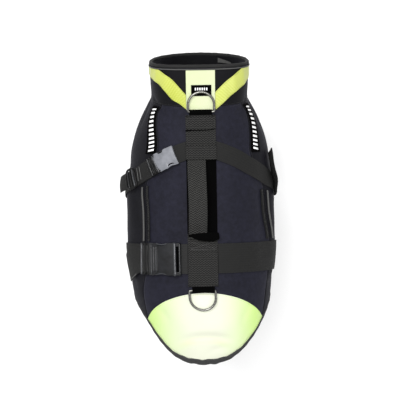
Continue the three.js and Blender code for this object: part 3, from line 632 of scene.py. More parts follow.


# Where the tail panel's painted trough shade lies, metres along y.
TROUGH_SHADE_Y = float(raised(np.array([-318.0]), np.array([0.0]), np.array([CLOTH]))[0][1]) * MM
neoprene = neoprene_finish("neoprene", (0.0036, 0.0036, 0.0068), (0.0112, 0.0112, 0.0205), (0.6, 0.6, 0.95))
flank_cloth = neoprene_finish("flank_neoprene", (0.0010, 0.0010, 0.0019), (0.0034, 0.0034, 0.0064),
                              (0.12, 0.12, 0.24))
# Neck tube neoprene: a darker copy of the body's, partly painted shade for the shaded inside of the neck.
collar_cloth_and_shade = neoprene_finish("collar_neoprene_and_shade", (0.0006, 0.0006, 0.0011), (0.0020, 0.0020, 0.0034),
                               (0.5, 0.5, 0.7))
spine_web = herring_finish("coarse_webbing", gray(0.0008), (0.033, 0.0325, 0.031), 0.0038, 0.0026)
handle_web = herring_finish("handle_webbing", gray(0.0010), (0.041, 0.0405, 0.038), 0.0040, 0.0036)
strap_web = webbing_finish("strap_webbing", (0.0045, 0.0045, 0.0044), (0.0125, 0.0125, 0.0121),
                           (0.0012, 0.0040), 0.4)
stub_web = webbing_finish("stub_webbing", gray(0.0075), (0.0205, 0.0205, 0.0203), (0.0012, 0.0040), 0.4)
# A darker copy of the strap webbing for the fold on the right: painted shade.
shaded_fold_web = webbing_finish("fold_webbing", gray(0.0014), (0.0042, 0.0041, 0.0040), (0.0012, 0.0040), 0.4,
                          0.95, 0.05)
binding_tape = webbing_finish("binding_tape", gray(0.004), gray(0.026), (0.0016, 0.0016), 0.6)
hem_tape = webbing_finish("hem_tape", gray(0.012), gray(0.055), (0.0016, 0.0016), 0.6)
# Black cloth of the label and the shoulder strips, also put where there is only shade: painted shade.
label_cloth = webbing_finish("label_cloth", gray(0.0002), gray(0.0011), (0.0010, 0.0010), 0.5, 0.95, 0.04)
zip_cloth = webbing_finish("zip_tape", gray(0.001), gray(0.007), (0.0012, 0.0012), 0.6)
piping_cloth = webbing_finish("piping_cloth", (0.036, 0.036, 0.035), (0.122, 0.122, 0.119),
                              (0.0014, 0.0014), 0.5, 0.5, turn=radians(45))
# The tail panel's pale middle is a painted highlight and its deeper trough is painted shade.
neon_panel = neon_finish("neon_panel", (0.50, 0.70, 0.20), (0.545, 0.56, 0.455), 0.0011, 0.088, TROUGH_SHADE_Y)
neon_band = neon_finish("neon_band", (0.33, 0.37, 0.035), (0.46, 0.50, 0.115), 0.0024)
neon_patch = neon_finish("neon_patch", (0.39, 0.45, 0.21), (0.47, 0.495, 0.335), 0.0011)
dark_plastic = plastic_finish("dark_plastic", (0.0014, 0.0016, 0.0022), (0.0060, 0.0066, 0.0086), 0.36,
                              0.04, 0.42)
matte_plastic = plastic_finish("matte_plastic", (0.0006, 0.0006, 0.0007), (0.0022, 0.0023, 0.0026), 0.5,
                               0.0, 0.2)
# Light grey copy of the buckle plastic: a painted reflection of the lamps.
reflection_plastic = plastic_finish("painted_reflection_plastic", (0.125, 0.13, 0.145), (0.185, 0.19, 0.212), 0.30, 0.25)
# Lighter copy of the buckle plastic: painted highlights on lips, bars, ribs and prongs.
highlight_plastic = plastic_finish("highlight_plastic", (0.014, 0.015, 0.018), (0.038, 0.040, 0.046), 0.30, 0.1)
# Near-black plastic: painted shade in slots and between ribs.
shade_plastic = plastic_finish("shade_plastic", (0.0008, 0.0008, 0.001), gray(0.002), 0.6, 0.0)
zip_teeth = plastic_finish("zip_teeth", (0.006, 0.006, 0.007), (0.02, 0.02, 0.022), 0.3, 0.1)
ring_steel = steel_finish()
black_thread = thread_finish("black_thread", gray(0.006), gray(0.03))
gray_thread_and_glint = thread_finish("gray_thread_and_glint", gray(0.05), gray(0.14))
neon_thread = thread_finish("neon_thread", (0.25, 0.36, 0.05), (0.35, 0.45, 0.12))
band_thread = thread_finish("band_thread", (0.10, 0.12, 0.012), (0.18, 0.21, 0.025))
white_print = thread_finish("white_print", gray(0.7), gray(0.9))

# Body panels. A panel sinks a little along its seams, so that they show as soft grooves.
SEAM_GAP = -0.1
GAP_ANGLE = SEAM_GAP / 2 / MM_A_DEGREE
ARMHOLE_GROWTH = BINDING - 0.9
GROOVE_DEPTH, GROOVE_WIDTH = 0.9, 3.0
PANEL_WALL = CLOTH - 0.3
FLANK_WALL = CLOTH + FOAM
FLANK_ROWS, FLANK_COLUMNS = 130, 60
CREASE_SHARE = 0.8
FRONT_ROWS, HOLE_ROWS = 0.1, 0.4  # shares of a flank's rows


def armhole_half(station):
    """Half of the armhole's width in degrees, at a station, with what the binding covers."""
    grow = ARMHOLE_GROWTH
    share = (station - ARMHOLE["station"]) / (ARMHOLE["half_length"] + grow)
    per_degree = np.linalg.norm(facing(ARMHOLE["station"], ARMHOLE["angle"])[1])
    return np.sqrt(np.maximum(0, 1 - share * share)) * (ARMHOLE["half_angle"] + grow / per_degree)


HOLE_REACH = ARMHOLE["half_length"] + ARMHOLE_GROWTH
TAIL_AT_SEAM = float(cloth_hem(np.array([LOWER_SEAM]))[0])


def row_share(u):
    """Share of a panel's length for an even row number: rows crowd at the armhole's two ends."""
    share = lambda station: (COLLAR_SEAM - station) / (COLLAR_SEAM - TAIL_AT_SEAM)
    front = share(ARMHOLE["station"] + HOLE_REACH)
    turn = np.clip((u - FRONT_ROWS) / HOLE_ROWS, 0, 1) * pi
    hole = share(ARMHOLE["station"] + HOLE_REACH * np.cos(turn))
    rear = share(ARMHOLE["station"] - HOLE_REACH)
    behind = mix(rear, 1.0, (u - 0.5) / 0.5)
    return np.where(u < FRONT_ROWS, front * u / FRONT_ROWS, np.where(u < 0.5, hole, behind))


def no_hollow(station):
    return 0 * station, 0 * station


def between(u, v, tail, first, second, hollow=no_hollow):
    """Station and angle on a panel between two side seams; `hollow` is what the armholes take from it."""
    rear = tail(mix(TAIL_CORNER, LOWER_SEAM, v))
    for _ in range(8):
        rear = tail(mix(first(rear), second(rear), v))
    station = mix(COLLAR_SEAM, rear, u)
    near, far = hollow(station)
    return station, mix(first(station) + near, second(station) - far, v)


def groove(v, width):
    """How far a panel sinks close to its two side edges."""
    return GROOVE_DEPTH * (1 - smoothstep(np.minimum(v, 1 - v) * width, 0, GROOVE_WIDTH))


def panel_place(place_of, sign, width):
    def place(u, v):
        v = crowd(v)
        station, angle = place_of(row_share(u), v)
        out = skin(station, angle) - creases(station, sign * angle) * CREASE_SHARE - groove(v, width)
        return raised(station, sign * angle, out)
    return place


def back_of(u, v):
    return between(u, v, lambda a: tail_edge(a) + 0.1,
                   lambda s: GAP_ANGLE - seam_angle(s, -1), lambda s: seam_angle(s, 1) - GAP_ANGLE)


def flank_of(sign):
    return lambda u, v: between(
        u, v, cloth_hem, lambda s: seam_angle(s, sign) + GAP_ANGLE,
        lambda s: LOWER_SEAM - GAP_ANGLE + 0 * s, lambda s: (0 * s, armhole_half(s)),
    )


def flank_depth(sign):
    """Share of the flank's full thickness at each corner of its grid."""
    bm, uv = even_grid(FLANK_ROWS, FLANK_COLUMNS)
    bm.free()
    station, angle = flank_of(sign)(row_share(uv[:, 0]), crowd(uv[:, 1]))
    return (skin(station, angle) - creases(station, sign * angle) * CREASE_SHARE - 0.2) / FLANK_WALL


def chest_of(u, v):
    half = lambda s: (armhole_half(s), armhole_half(s))
    return between(u, v, cloth_hem, lambda s: LOWER_SEAM + GAP_ANGLE + 0 * s,
                   lambda s: 360 - LOWER_SEAM - GAP_ANGLE + 0 * s, half)


def collar_place(u, v):
    station = mix(COLLAR_SEAM, COLLAR_END, u)
    sink = CREASE_SHARE * creases(station, v * 360) * smoothstep(station, 70, 76)
    return raised(station, v * 360, CLOTH - sink)


def tail_of(u, v):
    angle = back_of(np.ones_like(v), v)[1]
    front = np.maximum(tail_edge(angle) - 0.1, cloth_hem(angle) + 0.4)
    return mix(front, cloth_hem(angle), u), angle


def tail_place(u, v):
    v = crowd(v, 0.5)
    station, angle = tail_of(u, v)
    return raised(station, angle, CLOTH - CREASE_SHARE * creases(station, angle))


bm = turn_out(grid_on(collar_place, 40, 150, True))
walled(finished("neck_tube_cloth", bm, collar_cloth_and_shade, ["collar"]), PANEL_WALL, 0.5)
layer_on("back_cloth", panel_place(back_of, 1, 230), 130, 84, PANEL_WALL, neoprene,
         ["back_panel"], 0.4)
for side, sign in SIDES:
    bm = turn_out(grid_on(panel_place(flank_of(sign), sign, 160), FLANK_ROWS, FLANK_COLUMNS))
    flank = finished(f"flank_cloth_{side}", bm, flank_cloth, [f"flank_{side}"])
    # The wall is as thick as the foam makes it at each place.
    depth = flank.vertex_groups.new(name="foam")
    for index, share in enumerate(flank_depth(sign)):
        depth.add([index], float(share), "REPLACE")
    walled(flank, FLANK_WALL, 0.4)
    flank.modifiers["wall"].vertex_group = "foam"
layer_on("chest_cloth", panel_place(chest_of, 1, 180), 130, 64, PANEL_WALL, neoprene,
         ["chest_panel"], 0.4)
layer_on("tail_cloth", tail_place, 60, 90, PANEL_WALL, neon_panel, ["tail_panel"], 0.3)

# Nape patch, its label and the neon bands.
PATCH_HALF = 24.6
BAND_END = 131.4
PATCH_OUT = CLOTH + LIFT
THREAD_OUT = 0.15  # how far stitches stand off webbing and bands


def patch_place(left, right, rear, front, out):
    def place(u, v):
        station = mix(rear, front, u)
        return raised(station, angle_at(mix(left, right, v), station, PATCH_OUT), out + 0 * u)
    return place


layer_on("nape_cloth", patch_place(-23.4, PATCH_HALF, FRONT_BAR + 3, BAND_END, PATCH_OUT + NEON), 30, 24,
         NEON, neon_patch, ["nape_patch"], 0.25)
LABEL = {"left": -15.0, "right": 18.4, "rear": 90.0, "front": 108.0}
LABEL_OUT = PATCH_OUT + NEON + LIFT + NEON
layer_on("nape_label_cloth", patch_place(*LABEL.values(), LABEL_OUT - 0.3), 14, 24,
         NEON - 0.3, label_cloth, ["nape_label"], 0.2)
for i in range(6):
    left = LABEL["left"] + 6.2 + i * 3.7
    layer_on(f"label_bar_{i}", patch_place(left, left + 2.0, 99.2, 103.6, LABEL_OUT), 3, 3,
             0.25, white_print, (), 0.0)
BAND_REAR_EDGE = [
    (10, 60), (14, 66), (24.5, 77.5), (35, 89.5), (46, 99), (65, 108.5), (84, 114.5), (105, 123.5),
    (120, BAND_END),
]
BAND_FRONT_EDGE = [(10, 88), (16, 96.5), (26, 110.5), (36, 120.5), (48, 131), (60, 142)]
# Degrees, then what each side adds to its rear edge and its front edge.
BAND_SHIFT = {
    -1: [(10, -1, -6), (18, 0, -5), (24, 0.5, -3), (33, -2, 1), (40, 3.5, 1), (48, 7.5, 1), (65, 7, -1),
         (84, 6, 0),
         (105, 3, 0), (120, 0, 0)],
    1: [(10, -3, -3), (24, -2, -2), (36, -0.5, -0.5), (50, 0.5, 0.5), (65, 3, 1), (84, 2, 0), (120, 0, 0)],
}


def band_edge(sign, column, angle):
    """Station of a band's rear edge (column 1) or front edge (column 2)."""
    table = BAND_REAR_EDGE if column == 1 else BAND_FRONT_EDGE
    return curve_through(table, angle) + curve_through(BAND_SHIFT[sign], angle, column)


def band_place(sign):
    def place(u, v):
        beside_patch = PATCH_HALF + (0.3 if sign > 0 else -0.9)
        start = angle_at(beside_patch, mix(70, BAND_END, u), PATCH_OUT)
        angle = mix(start, 120, u)
        rear, front = (np.minimum(band_edge(sign, column, angle), BAND_END) for column in (1, 2))
        station = mix(rear, np.maximum(front, rear), v)
        clear = angle_at(beside_patch, station, PATCH_OUT)
        ripple = 0.35 * np.sin(angle * 0.5 + 2 * v)
        return raised(station, sign * np.maximum(angle, clear),
                      PATCH_OUT + NEON + ripple * smoothstep(angle, 16, 30))
    return place


for side, sign in SIDES:
    layer_on(f"neon_band_{side}", band_place(sign), 110, 12, NEON, neon_band,
             [f"v_band_{side}"], 0.2)

band_rows = []
for sign in (-1, 1):
    for column, inset, last in ((1, 1.8, 118), (2, -1.8, 44)):
        def row(t, sign=sign, column=column, inset=inset, last=last):
            angle = mix(16, last, t)
            station = np.minimum(band_edge(sign, column, angle) + inset, BAND_END - 0.4)
            return station, sign * angle, PATCH_OUT + NEON + THREAD_OUT + 0 * t
        band_rows.append(row)

# Bound edges.
neck_route = lambda t: (COLLAR_END + 0.3 + BINDING, t * 360, CLOTH / 2 + 0 * t)
roll("neck_edge", neck_route, 200, 14, lambda u, v: BINDING + 0.25 * np.sin(u * 190) * np.sin(u * 61), True,
     binding_tape, ["neck_binding"], 1.05)
roll("neck_piping_line", lambda t: (COLLAR_END - 1.2, t * 360, CLOTH + 1.3 + 0 * t), 200, 8, 0.95, True,
     piping_cloth, ["neck_piping"])


def hem_route(t):
    wave = 0.7 * np.sin(t * 2 * pi * 26) * np.exp(-((signed(t * 360) / 30) ** 2))
    tip = 0.7 * np.exp(-((signed(t * 360) / 42) ** 2))
    return hem_station(t * 360) + hem_inset(t * 360, BINDING) + wave + tip, t * 360, CLOTH / 2 + 0 * t


def hem_radius(u, v):
    tip = np.exp(-((signed(u * 360) / 42) ** 2))
    return BINDING + 0.2 * np.sin(u * 290) + 2.5 * tip * np.abs(np.cos(v * 2 * pi))


roll("hem_edge", hem_route, 320, 16, hem_radius, True, hem_tape, ["hem_binding"])


def armhole_route(sign):
    return lambda t: (
        ARMHOLE["station"] + ARMHOLE["half_length"] * np.cos(t * 2 * pi),
        sign * (ARMHOLE["angle"] + ARMHOLE["half_angle"] * np.sin(t * 2 * pi)),
        CLOTH / 2 + 0 * t,
    )


for side, sign in SIDES:
    roll(f"armhole_edge_{side}", armhole_route(sign), 120, 14, BINDING, True, binding_tape,
         [f"armhole_binding_{side}"], 1.05)


def tab_place(u, v):
    angle = mix(133, 153, v)
    return raised(mix(121, 124 + 7 * v, u), angle, -LIFT + 0 * u)


layer_on("neck_tab", tab_place, 8, 10, NEON, piping_cloth, ["collar_tab"], 0.2)

# Shoulder strips with plain slanted bars in print.
def strip_point(sign, station, across, out):
    angle = seam_angle(station, sign) + across
    return raised(station, sign * angle, skin(station, angle) + out)


BAR_COUNT, BAR_PITCH = 11, 6.2
for side, sign in SIDES:
    place = lambda u, v: strip_point(sign, mix(67, -7, u), mix(1.2, 12, v), LIFT + NEON)
    layer_on(f"shoulder_strip_{side}", place, 40, 8, NEON, label_cloth,
             [f"side_strip_{side}"], 0.25)
    for i in range(BAR_COUNT):
        front = 63.5 - i * BAR_PITCH
        bar = lambda u, v: strip_point(sign, front - 3.0 * u - 2.4 * v, mix(3.6, 9.4, v), LIFT + NEON + 0.2)
        layer_on(f"print_bar_{side}_{i:02d}", bar, 3, 6, 0.25, white_print, (), 0.0)

# Pocket zips and pipings.
def beads(name, centres, along, side, out, sizes, material, slot):
    """Small rounded stitches or teeth, one at each centre, `sizes` long, wide and high."""
    bm = bmesh.new()
    for middle, a, b, c in zip(centres, along * sizes[0], side * sizes[1], out * sizes[2]):
        turn = Matrix((a, b, c)).transposed() * 0.5 * MM
        bmesh.ops.create_icosphere(
            bm, subdivisions=1, radius=1, matrix=Matrix.Translation(Vector(middle) * MM) @ turn.to_4x4())
    return finished(name, bm, material)


def thread_row(name, routes, material, slot, pitch=2.7, length=2.0, wide=0.55):
    """Stitches along routes; route(t) gives station, angle and how far out."""
    centres, aheads, sides, outs = [], [], [], []
    for route in routes:
        fine = np.linspace(0, 1, 300)
        run = raised(*route(fine))
        travelled = np.concatenate([[0], np.cumsum(np.linalg.norm(np.diff(run, axis=0), axis=1))])
        count = max(2, int(travelled[-1] / pitch))
        t = np.interp((np.arange(count) + 0.5) / count * travelled[-1], travelled, fine)
        ahead = unit(raised(*route(t + 0.002)) - raised(*route(t - 0.002)))
        station, angle, _ = route(t)
        out = facing(station, angle)[2]
        side = unit(np.cross(ahead, out))
        centres.append(raised(*route(t)))
        aheads.append(ahead)
        sides.append(side)
        outs.append(out)
    joined = [np.concatenate(parts) for parts in (centres, aheads, sides, outs)]
    return beads(name, *joined, (length, wide, 0.4), material, slot)


def teeth(name, route, start, end):
    count = int(abs(end - start) / 1.7)
    t = np.linspace(start, end, count)
    station, angle = route(t)
    _, _, out = facing(station, angle)
    ahead = unit(raised(*route(t + 0.5), 4 + 0 * t) - raised(*route(t - 0.5), 4 + 0 * t))
    side = unit(np.cross(ahead, out))
    centres = raised(station, angle, skin(station, angle) + STRAP_LIFT + 1.1)
    return beads(name, centres, ahead, side, out, (0.9, 4.0, 1.1), zip_teeth, "zip_tape")


for side, sign in SIDES:
    zip_half = 2.8 if sign < 0 else 4.0
    zip_route = lambda t: (t, sign * (seam_angle(t, sign) - (2.6 if sign < 0 else 3.8)))
    place = strap_place(zip_route, POCKET_FRONT[sign], POCKET_REAR, zip_half, STRAP_LIFT, 1.0)
    layer_on(f"pocket_zip_tape_{side}", place, 60, 6, 1.0, zip_cloth, [f"pocket_zip_{side}"],
             0.2)

    def piping_route(t):
        station = mix(POCKET_FRONT[sign] - 2, POCKET_REAR, t)
        angle = seam_angle(station, sign) + 3
        return station, sign * angle, skin(station, angle) + 1.5 + STRAP_LIFT
    roll(f"pocket_piping_roll_{side}", piping_route, 90, 10, 1.5, False, piping_cloth,
         [f"pocket_piping_{side}"])

    def second_route(t):
        station, angle, out = piping_route(t)
        return station, angle + sign * 1.5, out - 0.7
    roll(f"pocket_piping_cord_{side}", second_route, 90, 8, 0.9, False, binding_tape)
    teeth(f"zip_teeth_{side}", zip_route, POCKET_FRONT[sign] - 1, POCKET_REAR + 1)

# Webbing along the spine, the band and the ring keepers.
def spine_place(start, end, out=LIFT + WEBBING):
    def place(u, v):
        station = mix(start, end, u)
        return raised(station, angle_at(mix(-SPINE_HALF, SPINE_HALF, v), station), CLOTH + out + 0 * u)
    return place


SECOND_LAYER = LIFT + WEBBING + LIFT
BAR_TO_WEBBING = 5.6
layer_on("spine_web_front", spine_place(FRONT_BAR - BAR_TO_WEBBING, BAND_REAR), 40, 20, WEBBING,
         spine_web, ["spine_webbing_front"], 0.4)
# Under the handle, a black sheet stands for the spine webbing in the handle's shadow: painted shade.
layer_on("under_handle_shade", spine_place(BAND_REAR - 0.2, HANDLE_LANDING + 0.2, LIFT + 1.2), 60, 20, 1.2,
         label_cloth, ["handle_backing"], 0.3)
layer_on("spine_web_rear", spine_place(HANDLE_LANDING, REAR_BAR + BAR_TO_WEBBING), 50, 20, WEBBING,
         spine_web, ["spine_webbing_rear"], 0.4)
layer_on("handle_band_web", spine_place(BAND_FRONT, BAND_REAR, SECOND_LAYER + 3), 20, 20, 3.0,
         spine_web, ["handle_band"], 0.8)

BAR_OUT = CLOTH + LIFT + WEBBING + BAR_CLEAR + WIRE


def keeper_place(bar, end, ahead):
    """Webbing that lies on the spine webbing, then goes round the ring's bar. Its middle surface."""
    half = WEBBING / 2
    flat = CLOTH + SECOND_LAYER + half
    turn = WIRE + BAR_CLEAR + half
    wide, narrow = SPINE_HALF - 0.6, RING_HALF_WIDTH - WIRE - 1
    path = [(abs(bar - end) * (1 - i / 8) + 8.5 * i / 8, flat, wide) for i in range(9)]
    path.append((6.4, flat + 0.4, narrow))
    for degrees in range(120, -91, -15):
        path.append((-turn * cos(radians(degrees)), BAR_OUT + turn * sin(radians(degrees)), narrow))
    path.append((3.6, BAR_OUT - turn, narrow))
    path = np.array(path)
    along_path = np.concatenate([[0], np.cumsum(np.hypot(*np.diff(path[:, :2], axis=0).T))])

    def place(u, v):
        s = u * along_path[-1]
        along, out, width = (np.interp(s, along_path, path[:, i]) for i in range(3))
        x = mix(-width, width, v)
        station = bar - ahead * along
        on_cloth = raised(station, angle_at(x, station), out)
        level = raised(station, 0 * station, out)
        level[:, 0] = x
        share = smoothstep(along, 6.0, 9.0)[:, None]
        return mix(level, on_cloth, share)
    return place


KEEPERS = (("front", FRONT_BAR, FRONT_KEEPER_END, 1), ("rear", REAR_BAR, REAR_KEEPER_END, -1))
for end_name, bar, end, ahead in KEEPERS:
    bm = grid_on(keeper_place(bar, end, ahead), 90, 14)
    flat_face = min(bm.faces, key=lambda f: abs(f.calc_center_median().y * 1000 - end))
    if flat_face.normal.z < 0:
        bmesh.ops.reverse_faces(bm, faces=bm.faces[:])
    for face in bm.faces:
        reach = (face.calc_center_median().y / MM - bar) * ahead
        # The fold round the bar takes the black cloth: painted shade.
        face.material_index = 1 if reach > -6.2 else 0  # the fold round the bar is darker
    piece = finished(f"ring_keeper_web_{end_name}", bm, spine_web, [f"ring_keeper_{end_name}"])
    piece.data.materials.append(label_cloth)
    walled(piece, WEBBING, 0.3, 0.0)


# Leash rings. Each lies a little aside of the spine's middle.
RING_ASIDE = {1: 1.0, -1: -2.0}
WIRE_SIDES = 16


def ring_points(bar, ahead, crown_out):
    hinge = raised(np.array([bar]), np.array([0.0]), np.array([BAR_OUT]))[0]
    crown = raised(np.array([bar + ahead * RING_LENGTH]), np.array([0.0]), np.array([crown_out]))[0]
    forward = crown - hinge
    straight = np.linalg.norm(forward) - RING_HALF_WIDTH
    forward = forward / np.linalg.norm(forward)
    hinge = hinge + np.array([RING_ASIDE[ahead], 0, 0])
    corner = 2.6
    curve = [(x, 0.0) for x in np.linspace(corner - RING_HALF_WIDTH, RING_HALF_WIDTH - corner, 9)[:-1]]

    def arc(cx, cy, radius, start, end, steps):
        for i in range(steps + 1):
            turn = radians(mix(start, end, i / steps))
            curve.append((cx + radius * cos(turn), cy + radius * sin(turn)))
    arc(RING_HALF_WIDTH - corner, corner, corner, -90, 0, 8)
    arc(0, straight, RING_HALF_WIDTH, 0, 180, 48)
    arc(corner - RING_HALF_WIDTH, corner, corner, 180, 270, 8)
    curve.pop()
    return hinge, forward, np.array(curve)


def ring_piece(name, node, body, bar, ahead, crown_out):
    hinge, forward, curve = ring_points(bar, ahead, crown_out)
    count = len(curve)
    across = np.array([1.0, 0, 0])
    normal = np.cross(across, forward)
    bm, uv = even_grid(count, WIRE_SIDES)
    for vertex, (u, v) in zip(bm.verts, uv):
        i = int(round(u * count)) % count
        turn = v * 2 * pi
        tangent = curve[(i + 1) % count] - curve[i - 1]
        tangent = tangent / np.linalg.norm(tangent)
        outward = across * tangent[1] - forward * tangent[0]
        centre = hinge + across * curve[i][0] + forward * curve[i][1]
        vertex.co = (centre + (outward * cos(turn) + normal * sin(turn)) * WIRE) * MM
    bmesh.ops.remove_doubles(bm, verts=bm.verts[:], dist=WELD)
    bmesh.ops.recalc_face_normals(bm, faces=bm.faces[:])
    return finished(name, bm, ring_steel, [node], body)


ring_piece("leash_ring_front", "ring_front", "front_leash_ring", FRONT_BAR, 1,
           CLOTH + 2 * LIFT + 2 * NEON + WIRE + 0.6)
ring_piece("leash_ring_rear", "ring_rear", "rear_leash_ring", REAR_BAR, -1, CLOTH + WIRE + 0.9)

# Handle.
HANDLE = {"left": -23.0, "right": 8.0, "thick": 4.4}
SEAT = CLOTH + SECOND_LAYER + HANDLE["thick"] / 2
ARCH = [
    (BAND_REAR - 0.5, SEAT), (-21, SEAT + 0.8), (-30, 13.5), (-45, 19), (-65, 22.4), (-85, 23.4),
    (-105, 22.2), (-122, 18.5), (-135, 12.5), (HANDLE_LANDING - 1, SEAT + 0.4), (HANDLE_LANDING - 8, SEAT),
]


def handle_place(u, v):
    y = mix(ARCH[0][0], ARCH[-1][0], u)
    rise = curve_through(ARCH, y)
    slope = unit(np.stack([np.ones_like(y), curve_through(ARCH, y + 0.5) - curve_through(ARCH, y - 0.5)],
                          -1))
    low = raised(y, 0 * y, 0 * y)
    x = mix(HANDLE["left"], HANDLE["right"], v) + 0.5 * np.sin(y * 0.05)
    crown = 0.35 * (1 - (2 * v - 1) ** 2)
    side = HANDLE["thick"] / 2 + crown
    return np.stack([x, low[:, 1] - slope[:, 1] * side, low[:, 2] + rise + slope[:, 0] * side], -1)


layer_on("handle_web", handle_place, 90, 12, HANDLE["thick"], handle_web, ["handle"], 1.2)

# Girth straps.
upper = lambda t: (curve_through(UPPER_ROUTE, fold(t)), t + 0 * t)
belly = lambda t: (BELLY_STATION + 0 * t, t + 0 * t)
HALF, BELLY_HALF = 15.0, 25.0
UPPER_JOIN = 70.1  # degrees, where the strap passes under the fold on the right
UPPER = {"bar": -18.5, "split": -34.5, "plug_end": -42.0, "slider": -62.5, "tip": -77.0}
BELLY = {"bar": -16.8, "split": -42.5, "plug_end": -53.0, "tip": -78.0}
BUCKLE_LIFT = STRAP_LIFT + WEBBING + LIFT
BESIDE_SPINE = SPINE_HALF + 0.2


def tail_lift(t):
    """The upper strap's free end stands off the flank."""
    return BUCKLE_LIFT + 9 * smoothstep((UPPER["plug_end"] - t) / (UPPER["plug_end"] - UPPER["tip"]), 0.3, 1)


def strap(name, node, route, start, end, half, rows, columns=8, lift=STRAP_LIFT, material=None):
    place = strap_place(route, start, end, half, lift)
    return layer_on(name, place, rows, columns, WEBBING, material or strap_web, [node], 0.4)


strap("upper_strap_web_right", "upper_strap_right", upper, crossing(upper, BESIDE_SPINE, 1), UPPER_JOIN,
      HALF, 60)
strap("upper_strap_web_under", "upper_strap_under", upper, UPPER_JOIN, 360 + UPPER["split"] - 1, HALF, 160)
strap("upper_strap_web_left", "upper_stub_left", upper, crossing(upper, BESIDE_SPINE, -1),
      UPPER["bar"] - 6, HALF, 14)
strap("belly_strap_web", "belly_strap", belly, crossing(belly, BESIDE_SPINE, 1), 360 + BELLY["split"] - 1,
      BELLY_HALF, 200, 10)
strap("belly_strap_web_left", "belly_stub_left", belly, crossing(belly, BESIDE_SPINE, -1),
      BELLY["bar"] - 6, BELLY_HALF, 14, 10,
      material=stub_web)
strap("upper_strap_tail", "upper_free_end", upper, UPPER["plug_end"] - 0.4, UPPER["tip"], HALF, 50,
      lift=lambda u: tail_lift(mix(UPPER["plug_end"] - 0.4, UPPER["tip"], u)))
slanted = lambda t: (BELLY_STATION - 21 * smoothstep(-t, 55, 84), t + 0 * t)
strap("belly_strap_tail", "belly_free_end", slanted, BELLY["plug_end"] - 0.9, BELLY["tip"], BELLY_HALF - 1,
      50,
      lift=BUCKLE_LIFT)
# The fold of webbing on the right is drawn in the darker webbing: painted shade.
rising = lambda t: (t, 76 - 0.14 * (t + 60))
bulge = lambda u: BUCKLE_LIFT + 3.4 * smoothstep(u, 0, 0.4)
place = strap_place(rising, -76, -7, 13, bulge, 2.4)
layer_on("strap_fold_right", place, 40, 8, 2.4, shaded_fold_web, ["strap_join_right"], 0.7)


# Buckles and the slider. Distances are along the strap, in millimetres, towards the plug.
MM_A_DEGREE_ON_STRAPS = 2.3
TOP = BUCKLE_LIFT
PRONG_OUT = TOP + 3.6


def on_strap(route, t, offset, out):
    station, angle = beside(route, t, offset)
    return station, angle, skin(station, angle) + out


def past(place, distance):
    return place - distance / MM_A_DEGREE_ON_STRAPS


def plate(name, route, start, end, front, rear, thick, material, replaces, bevel, crown=0.8):
    """A moulded plate; front(u) and rear(u) are its half widths along its length."""
    def place(u, v):
        offset = mix(-front(u), rear(u), v)
        station, angle, out = on_strap(route, mix(start, end, u), offset, TOP + thick)
        return raised(station, angle, out + crown * (1 - (2 * v - 1) ** 2))
    return layer_on(name, place, 48, 16, thick, material, replaces, bevel)


def cross_bar(name, route, at, half, out, radius, material, flat=0.8):
    """A rounded bar across a strap."""
    def bar_route(u):
        return on_strap(route, at + 0 * u, mix(-half, half, u), out)
    return roll(name, bar_route, 16, 12, radius, False, material, (), flat)


def prong(name, route, at, offset, material):
    """The rounded arm that shows in a buckle's side notch. at and offset are its three places."""
    def arm(u):
        t, aside = (curve_through([(i / 2, x) for i, x in enumerate(row)], u) for row in (at, offset))
        return on_strap(route, t, aside, PRONG_OUT)
    return roll(name, arm, 24, 10, 1.5, False, material, (), 1.2)


def even(half):
    return lambda u: half + 0 * u


def notched(half, at, deep, wide):
    return lambda u: half - deep * np.exp(-(np.abs(u - at) / wide) ** 4)


UPPER_HALF = HALF + 1.2
# The upper shell's light grey is a painted reflection on dark plastic like the belly buckle's.
plate("upper_buckle_shell", upper, past(UPPER["bar"], 3), UPPER["split"],
      notched(UPPER_HALF, 0.62, 4.0, 0.13), notched(UPPER_HALF, 0.36, 5.6, 0.18), 5.6,
      reflection_plastic, ["upper_buckle_socket"], 1.3, 2.0)
plate("upper_buckle_tongue", upper, past(UPPER["split"], 0.5), UPPER["plug_end"],
      even(UPPER_HALF - 0.6), even(UPPER_HALF - 0.6), 4.6,
      matte_plastic, ["upper_buckle_plug"], 0.9)
# The lip and the first tongue bar are lighter: painted highlights.
cross_bar("upper_shell_lip", upper, past(UPPER["split"], -1.2), UPPER_HALF - 1, TOP + 6.2, 1.0,
          highlight_plastic)
for i, (at, look) in enumerate(((2.2, highlight_plastic), (8.0, matte_plastic), (14.0, dark_plastic))):
    cross_bar(f"upper_tongue_bar_{i}", upper, past(UPPER["split"], at), UPPER_HALF - 1, TOP + 4.9, 1.5, look)
# The tongue's slots are near-black bars: painted shade.
for i, at in enumerate((5.0, 11.0)):
    cross_bar(f"upper_tongue_slot_{i}", upper, past(UPPER["split"], at), UPPER_HALF - 4, TOP + 4.9, 1.2,
              shade_plastic, 0.4)
# The rear prong's light arm is a painted glint; the front one is dark.
prong("upper_prong_rear", upper, (-21.8, -25.2, -29.5), (15.0, 13.4, 15.4), reflection_plastic)
prong("upper_prong_front", upper, (-25.5, -28.9, -32.2), (-15.4, -13.8, -15.0), dark_plastic)

